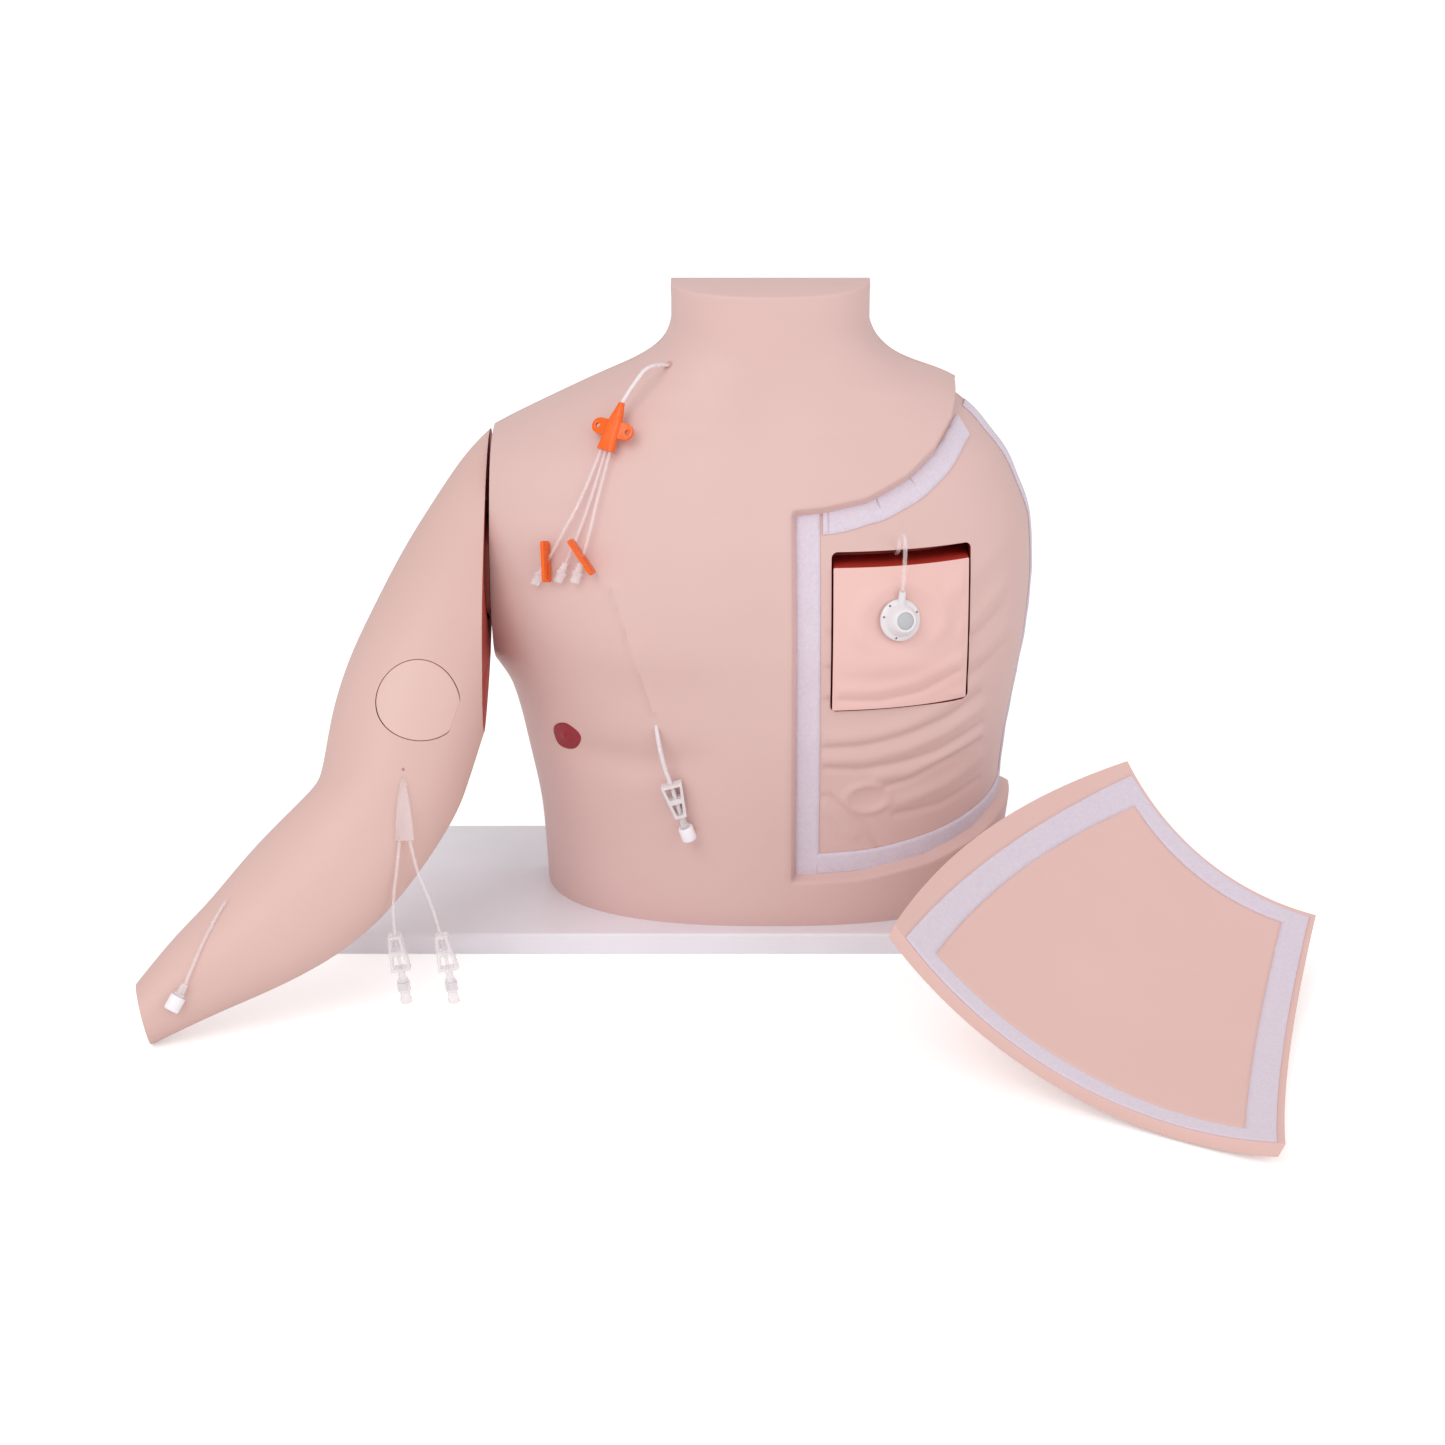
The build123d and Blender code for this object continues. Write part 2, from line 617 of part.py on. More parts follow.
def shoulder_hardware():
    """Plate, friction disc, bolt, washer and wing nut, by name."""
    arm_face = ARM_FACE_X - ARM_GAP
    nut_start = ARM_FACE_X + JOINT_WALL + FIT + WASHER_THICK
    with BuildPart() as plate:
        add(turned(PLATE_RADIUS, arm_face - PLATE_THICK, PLATE_THICK, BOLT_RADIUS + RUNNING))
        add(turned(BOLT_HEAD_RADIUS + FIT, arm_face - PLATE_THICK, BOLT_HEAD_THICK),
            mode=Mode.SUBTRACT)
    with BuildPart() as bolt:
        add(turned(BOLT_HEAD_RADIUS, arm_face - PLATE_THICK, BOLT_HEAD_THICK))
        add(turned(BOLT_RADIUS, arm_face - PLATE_THICK,
                   nut_start + NUT_LENGTH + 3 - arm_face + PLATE_THICK))
    with BuildPart() as nut:
        add(turned(NUT_RADIUS, nut_start, NUT_LENGTH))
        with BuildSketch(Plane.XY.offset(PIVOT_Z)):
            with Locations((nut_start + NUT_LENGTH, PIVOT_Y)):
                SlotOverall(2 * WING_REACH, 10, rotation=90)
        extrude(amount=1.6, both=True)
        add(turned(BOLT_RADIUS + RUNNING, nut_start - 1, NUT_LENGTH + 20), mode=Mode.SUBTRACT)
    return {
        "arm_plate": plate.part,
        "shoulder_bolt": bolt.part,
        "friction_disc": turned(DISC_RADIUS, arm_face, ARM_GAP - FIT, BOLT_RADIUS + RUNNING),
        "shoulder_washer": turned(WASHER_RADIUS, nut_start - WASHER_THICK, WASHER_THICK,
                                  BOLT_RADIUS + RUNNING),
        "wing_nut": nut.part,
    }


def inset_corners(corners, insets):
    """Corners of a four-sided outline after each side moves inwards by its own distance."""
    moved = []
    count = len(corners)
    middle = (sum(c[0] for c in corners) / count, sum(c[1] for c in corners) / count)
    lines = []
    for k in range(count):
        (x1, y1), (x2, y2) = corners[k], corners[(k + 1) % count]
        length = hypot(x2 - x1, y2 - y1)
        nx, ny = -(y2 - y1) / length, (x2 - x1) / length
        if (middle[0] - x1) * nx + (middle[1] - y1) * ny < 0:
            nx, ny = -nx, -ny
        lines.append((nx, ny, nx * x1 + ny * y1 + insets[k]))
    for k in range(count):
        (a, b, c), (d, e, f) = lines[k - 1], lines[k]
        whole = a * e - b * d
        moved.append(((c * e - b * f) / whole, (a * f - c * d) / whole))
    return moved


def bowed(start, end, bow):
    """A side of the cover: a shallow arc, or a straight line."""
    if abs(bow) < 0.5:
        return Line(start, end)
    (x1, y1), (x2, y2) = start, end
    length = hypot(x2 - x1, y2 - y1)
    middle = ((x1 + x2) / 2 - (y2 - y1) / length * bow, (y1 + y2) / 2 + (x2 - x1) / length * bow)
    return ThreePointArc(start, middle, end)


def cover_layer(low, high):
    """A dished sheet in the cover's own frame, between two heights over its inside surface."""
    reach = 190.0
    def arc_point(y, lift):
        radius = COVER_BEND - lift
        return (y, COVER_BEND - (radius ** 2 - y ** 2) ** 0.5)
    with BuildPart() as layer:
        with BuildSketch(Plane.YZ):
            with BuildLine():
                bottom = ThreePointArc(arc_point(-reach, low), arc_point(0, low),
                                       arc_point(reach, low))
                top = ThreePointArc(arc_point(-reach, high), arc_point(0, high),
                                    arc_point(reach, high))
                Line(bottom @ 0, top @ 0)
                Line(bottom @ 1, top @ 1)
            make_face()
        revolve(axis=Axis((0, 0, COVER_ROUND), (0, 1, 0)))
    return layer.part


def cover_side_block(corners, bows):
    """An upright block over a closed plan outline of bowed sides, in the cover's frame."""
    with BuildPart() as block:
        with BuildSketch(Plane.XY.offset(-COVER_THICK - 2)):
            with BuildLine():
                for k, corner in enumerate(corners):
                    bowed(corner, corners[(k + 1) % len(corners)], bows[k])
            make_face()
        extrude(amount=COVER_ROUND * 0.6)
    return block.part


def cover_pieces():
    """The chest cover and its four strips of tape, laid on the table with the inside up."""
    with BuildPart() as skin:
        add(cover_layer(-COVER_THICK, 0))
        add(cover_side_block(COVER_CORNERS, COVER_BOWS), mode=Mode.INTERSECT)
    outer = inset_corners(COVER_CORNERS, COVER_TAPE_INSETS)
    inner = inset_corners(COVER_CORNERS, [inset + TAPE_WIDTH for inset in COVER_TAPE_INSETS])
    layer = cover_layer(0, TAPE_THICK)
    pieces = {"chest_cover": skin.part}
    for k, side in enumerate(("neckline", "flank", "hem", "sternum")):
        after = (k + 1) % 4
        bows = [COVER_BOWS[k] * 0.7, 0, -COVER_BOWS[k] * 0.7, 0]
        block = cover_side_block([outer[k], outer[after], inner[after], inner[k]], bows)
        pieces[f"cover_tape_{side}"] = layer & block
    place = Plane(COVER_AT, x_dir=COVER_ACROSS, z_dir=COVER_FACING).location
    pieces = {name: place * piece for name, piece in pieces.items()}
    lowest = pieces["chest_cover"].bounding_box().min.Z
    return {name: Pos(0, 0, -lowest) * piece for name, piece in pieces.items()}


def front_point(form, x, z, away=(0, -1, 0)):
    """The place just off the front of a form, seen at x and z, lifted in the given direction."""
    touched = form.find_intersection_points(Axis((x, -TORSO_WIDTH, z), (0, 1, 0)))[0][0]
    return touched + Vector(*away) * TAPE_LIFT


def flank_point(form, y, z):
    """The place just off the left flank of a form, at y and z."""
    touched = form.find_intersection_points(Axis((TORSO_WIDTH, y, z), (-1, 0, 0)))[0][0]
    return touched + Vector(TAPE_LIFT, 0, 0)


def strip(edges):
    """A thin strip of tape between pairs of places on the recess floor."""
    sections = []
    for (first, second), (before, after) in zip(edges, [edges[:2]] + list(zip(edges, edges[2:]))
                                                + [edges[-2:]]):
        along = after[0] + after[1] - before[0] - before[1]
        out = (second - first).cross(along).normalized() * TAPE_THICK
        out = out if out.Y < 0 or out.X > TAPE_THICK / 2 else -out
        sections.append(Face(Wire.make_polygon([first, second, second + out, first + out])))
    with BuildPart() as tape:
        loft(sections, ruled=True)
    return tape.part


def between(points, count):
    """The points with count more in each gap, for a smoother strip."""
    filled = []
    for (x1, z1), (x2, z2) in zip(points, points[1:]):
        filled += [(x1 + (x2 - x1) * i / count, z1 + (z2 - z1) * i / count) for i in range(count)]
    return filled + [points[-1]]


def torso_tapes(floor):
    """Four strips of tape on the recess floor, just inside its edges."""
    wide = TAPE_INSET + TAPE_WIDTH
    left = STERNUM_FOOT[0] + TAPE_INSET
    right = STERNUM_FOOT[0] + wide
    start = right + TAPE_GAP
    neck = between([(x + TAPE_INSET * 0.6, z - TAPE_INSET) for x, z in NECKLINE[1:-1]], 4)
    hem = between([(x, z + TAPE_INSET) for x, z in HEM[1:-1]], 3)
    low, high = HEM[0][1] + TAPE_INSET, NECKLINE[0][1] - TAPE_INSET
    rises = [low + (high - low) * i / STRIP_STEPS for i in range(STRIP_STEPS + 1)]
    flank_low, flank_high = HEM[-1][1] + TAPE_INSET, NECKLINE[-2][1] - TAPE_INSET
    steps = [flank_low + (flank_high - flank_low) * i / STRIP_STEPS
             for i in range(STRIP_STEPS + 1)]
    return {
        "tape_sternum": strip([(front_point(floor, left, z), front_point(floor, right, z))
                               for z in rises]),
        "tape_neckline": strip([(front_point(floor, x, z, NECK_AWAY),
                                 front_point(floor, x + TAPE_WIDTH * NECK_LEAN[0],
                                             z - TAPE_WIDTH * NECK_LEAN[1], NECK_AWAY))
                                for x, z in neck]),
        "tape_hem": strip([(front_point(floor, max(x, start), z),
                            front_point(floor, max(x, start), z + TAPE_WIDTH))
                           for x, z in [(start, low)] + hem]),
        "tape_flank": strip([(flank_point(floor, BACK_Y - TAPE_GAP, z),
                              flank_point(floor, BACK_Y - TAPE_WIDTH, z)) for z in steps]),
    }


def bend_radii(points):
    """The bend radius at each corner of a tube's path, as wide as the runs beside it allow."""
    radii = []
    for before, corner, after in zip(points, points[1:], points[2:]):
        one = Vector(*corner) - Vector(*before)
        two = Vector(*after) - Vector(*corner)
        half = radians(one.get_angle(two)) / 2
        radii.append(BEND_SHARE * min(one.length, two.length) / tan(half))
    return radii


def tube(points, radius, name):
    """A limp tube as a rod along straight runs with tangent arcs at the corners."""
    radii = bend_radii(points)
    with BuildPart() as rod:
        with BuildLine() as path:
            if radii:
                FilletPolyline(*points, radius=radii)
            else:
                Line(*points)
        start = path.wires()[0]
        with BuildSketch(Plane(start @ 0, z_dir=start % 0)):
            Circle(radius)
        sweep()
    print(f"{name}: length {start.length:.1f}, bend radii {[round(r, 1) for r in radii]},",
          f"volume over section {rod.part.volume / (pi * radius ** 2 * start.length):.3f}")
    return rod.part


def aimed(start, end, turn=0.0):
    """A plane at start that faces end, turned about that direction."""
    plane = Plane(start, z_dir=Vector(*end) - Vector(*start))
    return plane.rotated((0, 0, turn))


def round_piece(plane, profile):
    """A piece turned about the plane's z axis, from the corners of its half section."""
    with BuildPart() as piece:
        with BuildSketch(Plane.XZ):
            with BuildLine():
                Polyline((0, profile[0][1]), *profile, (0, profile[-1][1]), close=True)
            make_face()
        revolve(axis=Axis.Z)
    return plane.location * piece.part


def pinch_clamp(plane, bore, start_half, end_half):
    """A one-piece pinch clamp round a tube that runs along the plane's z axis."""
    inner = [half - CLAMP_STRAP for half in (start_half, end_half)]
    ends = (CLAMP_STRAP, CLAMP_LENGTH - CLAMP_STRAP)
    middle = CLAMP_LENGTH / 2
    with BuildPart() as clamp:
        with BuildSketch(Plane.XZ):
            with BuildLine():
                Polyline((-start_half, 0), (start_half, 0), (end_half, CLAMP_LENGTH),
                         (-end_half, CLAMP_LENGTH), close=True)
            make_face()
            with BuildLine():
                Polyline((-inner[0], ends[0]), (inner[0], ends[0]), (inner[1], ends[1]),
                         (-inner[1], ends[1]), close=True)
            make_face(mode=Mode.SUBTRACT)
            with Locations((0, middle)):
                Rectangle(start_half + end_half - 1, 2 * CLAMP_STRAP)
        extrude(amount=CLAMP_THICK / 2, both=True)
        with BuildSketch():
            Circle(bore)
        extrude(amount=CLAMP_LENGTH, mode=Mode.SUBTRACT)
    return plane.location * clamp.part


def slide_clamp(middle, along, outward):
    """A flat slide clamp on its edge: its length and the way out from the skin are given."""
    plane = Plane(middle, x_dir=along, z_dir=Vector(*along).cross(Vector(*outward)))
    with BuildPart() as plate:
        with BuildSketch(plane):
            RectangleRounded(SLIDE_LENGTH, SLIDE_WIDTH, SLIDE_WIDTH / 4)
            with Locations((SLIDE_LENGTH / 4, 0)):
                SlotOverall(SLIDE_LENGTH * 0.4, SLIDE_SLOT, mode=Mode.SUBTRACT)
        extrude(amount=SLIDE_THICK / 2, both=True)
    return plate.part


def luer_hub(plane):
    """The turned fitting at the end of a tube, with a plain spigot for its cap."""
    return round_piece(plane, LUER_PROFILE)


def luer_cap(plane, profile):
    """A cap that turns on a fitting's spigot."""
    cap = round_piece(plane.offset(CAP_START), profile)
    bore = round_piece(plane.offset(CAP_START), [(LUER_SPIGOT + RUNNING, 0.0),
                       (LUER_SPIGOT + RUNNING, LUER_LENGTH - CAP_START + RUNNING)])
    return cap - bore


def port_pieces():
    """The implanted port, its septum and the tube that loops over into the slot."""
    seat = port_plane()
    direction = (Vector(*PORT_TUBE[1]) - Vector(*PORT_TUBE[0])).normalized()
    root = Vector(*PORT_TUBE[0]) - direction * (PORT_RADIUS - 2)
    with BuildPart() as body:
        add(round_piece(seat, PORT_PROFILE))
        add(round_piece(Plane(root, z_dir=direction),
                        [(STEM_RADIUS + 0.6, 0), (STEM_RADIUS, PORT_RADIUS - 2)]))
        with BuildSketch(seat):
            with Locations(*[(SUTURE_REACH * cos(radians(a)), SUTURE_REACH * sin(radians(a)))
                             for a in SUTURE_TURNS]):
                Circle(SUTURE_RADIUS)
        extrude(amount=PORT_RADIUS, mode=Mode.SUBTRACT)
        with BuildSketch(seat.offset(PORT_PROFILE[-1][1] - SEPTUM_DEPTH)):
            Circle(SEPTUM_RADIUS)
        extrude(amount=SEPTUM_DEPTH, mode=Mode.SUBTRACT)
    top = seat.offset(PORT_PROFILE[-1][1] - SEPTUM_DEPTH)
    septum = round_piece(top, [(SEPTUM_RADIUS, 0), (SEPTUM_RADIUS, SEPTUM_DEPTH - 0.5),
                               (SEPTUM_RADIUS - 1.5, SEPTUM_DEPTH + 0.3)])
    return {"port_body": body.part, "port_septum": septum,
            "port_tube": tube(PORT_TUBE, PORT_TUBE_RADIUS, "port_tube")}


def central_line():
    """The line at the collarbone: tube, winged hub, three lumens, clamps and fittings."""
    nose = CVC_TUBE[-1]
    axis = aimed(nose, CVC_BASE)
    out = Vector(-0.29, -0.68, 0.68)
    plane = Plane(nose, x_dir=axis.z_dir.cross(out), z_dir=axis.z_dir)
    with BuildPart() as hub:
        with BuildSketch(plane):
            Circle(HUB_NOSE_RADIUS)
        with BuildSketch(plane.offset(HUB_LENGTH * 0.4)):
            RectangleRounded(10, 6, 2.5)
        with BuildSketch(plane.offset(HUB_LENGTH)):
            RectangleRounded(12, 6, 2.5)
        loft(ruled=True)
        wings = Plane(plane.origin + plane.z_dir * HUB_LENGTH * 0.55, x_dir=plane.x_dir,
                      z_dir=plane.z_dir.cross(plane.x_dir))
        with BuildSketch(wings.offset(-1.2)):
            SlotOverall(30, 11)
            with Locations((-11, 0), (11, 0)):
                Circle(1.6, mode=Mode.SUBTRACT)
        extrude(amount=2.4)
    base = plane.origin + plane.z_dir * HUB_LENGTH
    line = tube(CVC_TUBE, CVC_TUBE_RADIUS, "line_tube")
    pieces = {"line_tube": line, "line_hub": hub.part - line}
    fittings = []
    for k, points in enumerate(CVC_LUMENS):
        root = base + plane.x_dir * (LUMEN_SPREAD * (1 - k))
        pieces[f"line_lumen_{k + 1}"] = tube([tuple(root)] + points, LUMEN_RADIUS,
                                             f"line_lumen_{k + 1}")
        fittings.append(luer_hub(aimed(points[-1], CVC_ENDS[k])))
    pieces["line_fittings"] = Compound(fittings)
    for k, (along, outward) in SLIDES.items():
        grip = aimed(CVC_LUMENS[k][-1], CVC_LUMENS[k][-2])
        middle = grip.origin + grip.z_dir * SLIDE_BACK + Vector(*outward) * SLIDE_LIFT
        clamp = slide_clamp(middle, along, outward)
        for j in range(len(CVC_LUMENS)):
            clamp -= pieces[f"line_lumen_{j + 1}"]
        pieces[f"line_clamp_{k + 1}"] = clamp
    return pieces


def capped_end(points, end, profile, name):
    """The fitting and cap at the end of a tube, by name."""
    plane = aimed(points[-1], end)
    return {f"{name}_fitting": luer_hub(plane), f"{name}_cap": luer_cap(plane, profile)}


def tunnelled_line():
    """The tunnelled line below the chest muscle, with its clamp and cap."""
    points = TUNNELLED_TUBE
    line = tube(points, TUNNELLED_RADIUS, "tunnelled_tube")
    clamp = pinch_clamp(aimed(points[-1], points[-2]), TUNNELLED_RADIUS, CLAMP_NARROW / 2,
                        CLAMP_WIDE / 2 + 0.6)
    pieces = {"tunnelled_tube": line, "tunnelled_clamp": clamp - line}
    pieces.update(capped_end(points, TUNNELLED_END, CAP_PROFILE, "tunnelled"))
    return pieces


def arm_line():
    """The line on the upper arm: soft body, two hanging lumens, clamps and caps."""
    halves = zip(PICC_BODY, PICC_BODY_HALVES)
    ends = [Vector(*p) for p in PICC_BODY]
    runs = [ends[1] - ends[0], ends[2] - ends[0], ends[2] - ends[1]]
    with BuildPart() as body:
        for (at, (half_wide, half_thick)), run in zip(halves, runs):
            with BuildSketch(Plane(at, x_dir=(1, 0, 0), z_dir=run)):
                Ellipse(half_wide, half_thick)
        loft()
    line = tube(PICC_EXIT, PICC_LUMEN_RADIUS, "arm_line_tube")
    pieces = {"arm_line_tube": line, "arm_line_body": body.part - line}
    for k, points in enumerate(PICC_LUMENS):
        side = "right" if k == 0 else "left"
        root = ends[2] + Vector(LUMEN_SPREAD * (-1, 1)[k], 0, 0)
        whole = [tuple(root)] + points
        lumen = tube(whole, PICC_LUMEN_RADIUS, f"arm_lumen_{side}")
        clamp = pinch_clamp(aimed(points[-1], points[-2]), PICC_LUMEN_RADIUS, CLAMP_WIDE / 2,
                            CLAMP_NARROW / 2)
        pieces[f"arm_lumen_{side}"] = lumen
        pieces[f"arm_clamp_{side}"] = clamp - lumen
        pieces["arm_line_body"] -= lumen
        pieces.update(capped_end(points, PICC_ENDS[k], SLIM_CAP_PROFILE, f"arm_{side}"))
    return pieces


def forearm_line():
    """The short line on the forearm, with its fitting and cap."""
    pieces = {"forearm_tube": tube(MIDLINE_TUBE, MIDLINE_RADIUS, "forearm_tube")}
    pieces.update(capped_end(MIDLINE_TUBE, MIDLINE_END, CAP_PROFILE, "forearm"))
    return pieces


def write(part, name):
    """Label a finished piece and write it to its own file."""
    part.label = name
    export_step(part, f"parts/{name}.step")
    box = part.bounding_box()
    print(f"{name:18s} {len(part.solids())} solids {part.volume:12.0f} {part.is_valid}",
          f"z {box.min.Z:.1f} to {box.max.Z:.1f}", flush=True)


lines = {**port_pieces(), **central_line(), **tunnelled_line(), **arm_line(), **forearm_line()}
forms = {
    "skin": torso_form(0),
    "inside": torso_form(SKIN_WALL, back=10, floor=TORSO_FLOOR),
    "recess": torso_form(RECESS_DEPTH, back=10),
    "deep": torso_form(RECESS_DEPTH + SKIN_WALL, back=10, floor=TORSO_FLOOR),
}
for name, piece in lines.items():
    write(piece, name)
tray = port_tray(lines["port_tube"])
write(half_torso(forms, [lines["line_tube"], lines["tunnelled_tube"], tray]), "torso_shell")
write(panel(forms), "back_panel")
write(panel_screws(), "panel_screws")
write(board(), "base_board")
write(board_screws(), "board_screws")
write(tray, "port_tray")
write(port_insert(lines["port_body"]), "port_insert")
write(arm([lines["arm_line_tube"], lines["forearm_tube"], lines["arm_line_body"]]), "right_arm")
write(arm_pad(), "arm_pad")
for name, piece in shoulder_hardware().items():
    write(piece, name)
for name, piece in cover_pieces().items():
    write(piece, name)
for name, piece in torso_tapes(forms["recess"]).items():
    write(piece, name)
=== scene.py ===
"""The looks of the central line trainer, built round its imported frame."""

import json
import math

import bmesh
import bpy
import numpy as np
from mathutils import Matrix, Vector


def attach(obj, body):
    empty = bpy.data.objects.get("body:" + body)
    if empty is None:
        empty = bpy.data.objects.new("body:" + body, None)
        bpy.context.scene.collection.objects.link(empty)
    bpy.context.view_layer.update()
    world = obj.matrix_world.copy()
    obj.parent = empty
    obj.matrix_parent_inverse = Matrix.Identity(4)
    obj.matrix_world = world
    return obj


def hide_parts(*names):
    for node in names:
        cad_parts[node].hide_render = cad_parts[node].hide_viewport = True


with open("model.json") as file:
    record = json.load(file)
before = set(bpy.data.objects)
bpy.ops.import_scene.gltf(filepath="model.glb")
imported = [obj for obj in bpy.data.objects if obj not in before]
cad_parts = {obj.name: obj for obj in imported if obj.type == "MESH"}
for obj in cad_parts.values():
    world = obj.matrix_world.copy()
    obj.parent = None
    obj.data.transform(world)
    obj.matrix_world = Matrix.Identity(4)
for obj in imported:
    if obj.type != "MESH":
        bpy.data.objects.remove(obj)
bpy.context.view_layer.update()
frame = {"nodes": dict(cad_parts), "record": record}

# Sizes are in millimetres here, in the frame of the solids, and turned to metres in the meshes.
MM = 0.001
BOARD_TOP = 14.0
TORSO_HEIGHT = 425.0
TORSO_WIDTH = 375.0
TORSO_DEPTH = 122.0
BACK_Y = 20.0
JOINT_X = -186.0
JOINT_GAP = 3.0
RECESS_DEPTH = 9.5
ROUNDNESS = 2.4
FLANK_TURN = 1.5707
# Sections up the torso: share of its height, then right and left half widths and depth, each
# as a share of the full one.
STATIONS = np.array([
    (0.000, 0.827, 0.848, 0.828), (0.122, 0.843, 0.896, 0.877), (0.247, 0.891, 0.920, 0.951),
    (0.353, 0.949, 0.955, 0.992), (0.447, 1.080, 0.987, 0.995), (0.541, 1.170, 1.000, 0.967),
    (0.624, 1.190, 0.989, 0.902), (0.694, 1.150, 0.936, 0.811), (0.741, 1.075, 0.885, 0.738),
    (0.781, 0.925, 0.816, 0.664), (0.814, 0.775, 0.752, 0.607), (0.849, 0.608, 0.640, 0.549),
    (0.878, 0.464, 0.469, 0.508), (0.908, 0.379, 0.384, 0.475), (0.941, 0.352, 0.352, 0.459),
    (1.000, 0.352, 0.352, 0.434)])
# The recess's edges in the front view, as x and z.
NECKLINE = np.array([(12.0, 309.0), (35.0, 311.0), (62.0, 316.0), (88.0, 328.0), (107.0, 343.0),
                     (119.0, 359.0), (126.0, 380.0), (128.0, 400.0)])
HEM = np.array([(14.0, 46.0), (62.0, 47.5), (110.0, 55.0), (145.0, 66.0), (172.0, 82.0),
                (185.0, 95.0)])
STERNUM = ((14.0, 46.0), (12.0, 309.0))
POCKET = (39.5, 131.5, 174.0, 280.0)
PORT_X, PORT_Z = 85.0, 234.0
PAD_OUT, PAD_ALONG, PAD_RADIUS = 39.0, 110.0, 27.0
PAD_GAP, PAD_FLOOR = 0.35, 31.0
ARM_SWING = math.radians(40.0)
PIVOT = np.array((-190.0, -28.0, 254.0))
# Sections down the arm: outer and inner edge, each as how far out and how far along, then
# half the thickness.
ARM_STATIONS = [
    ((-5, -104), (-55, -98), 24.0), ((17, -78), (-55, -72), 34.0), ((39, -41), (-52, -38), 41.0),
    ((58, -5), (-46, -3), 44.0), ((77, 38), (-32, 42), 46.0), ((90, 72), (-14, 78), 45.0),
    ((99, 109), (-1, 117), 43.0), ((104, 145), (9, 153), 41.0), ((115, 165), (24, 188), 39.0),
    ((145, 198), (66, 247), 35.0), ((173, 234), (119, 285), 29.0), ((196, 261), (163, 306), 23.0),
    ((228, 305), (213, 331), 15.5)]
WRIST_CUT = ((216.0, 289.0), (206.0, 325.0))

# The grid of the torso's skin: the band that follows the recess's edges, how far those edges
# slope, the turn of one step in the band, and the counts of rows and columns.
EDGE_BAND = 6.4
EDGE_SLOPE = 4.6
EDGE_TURN = 0.0040
TORSO_ROWS = (16, 10, 158, 10, 74)
SKIN_TOP = 437.4
EDGE_COLUMNS, LEFT_COLUMNS, RIGHT_COLUMNS = 10, 150, 104

# Sizes of tape and of the line that shows through the chest skin.
TAPE_WIDTH, TAPE_THICK, COVER_TAPE_THICK = 16.0, 1.5, 1.2
TRACK_RISE, TRACK_HALF = 1.5, 2.0


# Camera and light.

CAMERA_PLACE, CAMERA_TARGET = (-0.03187, -2.0, 0.88457), (-0.03187, 0.0, 0.13189)
CAMERA_LENS = 76.83


def point_at(thing, target):
    """Turns a camera or lamp to face a place."""
    way = Vector(target) - thing.location
    thing.rotation_euler = way.to_track_quat("-Z", "Y").to_euler()


def make_camera():
    """The photograph's own place and lens."""
    data = bpy.data.cameras.new("photo_camera")
    data.sensor_width = 36.0
    data.lens = CAMERA_LENS
    camera = bpy.data.objects.new("photo_camera", data)
    bpy.context.scene.collection.objects.link(camera)
    camera.location = CAMERA_PLACE
    point_at(camera, CAMERA_TARGET)
    bpy.context.scene.camera = camera


def make_lamp(name, place, target, size, watts):
    """A soft square lamp."""
    data = bpy.data.lights.new(name, "AREA")
    data.shape = "SQUARE"
    data.size = size
    data.energy = watts
    lamp = bpy.data.objects.new(name, data)
    bpy.context.scene.collection.objects.link(lamp)
    lamp.location = place
    point_at(lamp, target)


# Shader maths and materials.

class Value:
    """A socket with arithmetic on it."""

    def __init__(self, look, socket):
        self.look, self.socket = look, socket

    def maths(self, operation, first, second, clamp=False):
        """The outcome of one maths node on two values or numbers."""
        node = self.look.node("ShaderNodeMath", {"operation": operation, "use_clamp": clamp},
                              {0: first, 1: second})
        return Value(self.look, node.outputs[0])

    def __add__(self, other):
        return self.maths("ADD", self, other)

    __radd__ = __add__

    def __sub__(self, other):
        return self.maths("SUBTRACT", self, other)

    def __rsub__(self, other):
        return self.maths("SUBTRACT", other, self)

    def __mul__(self, other):
        return self.maths("MULTIPLY", self, other)

    __rmul__ = __mul__

    def __truediv__(self, other):
        return self.maths("DIVIDE", self, other)

    def clamped(self):
        """The value, held between 0 and 1."""
        return self.maths("ADD", self, 0.0, clamp=True)


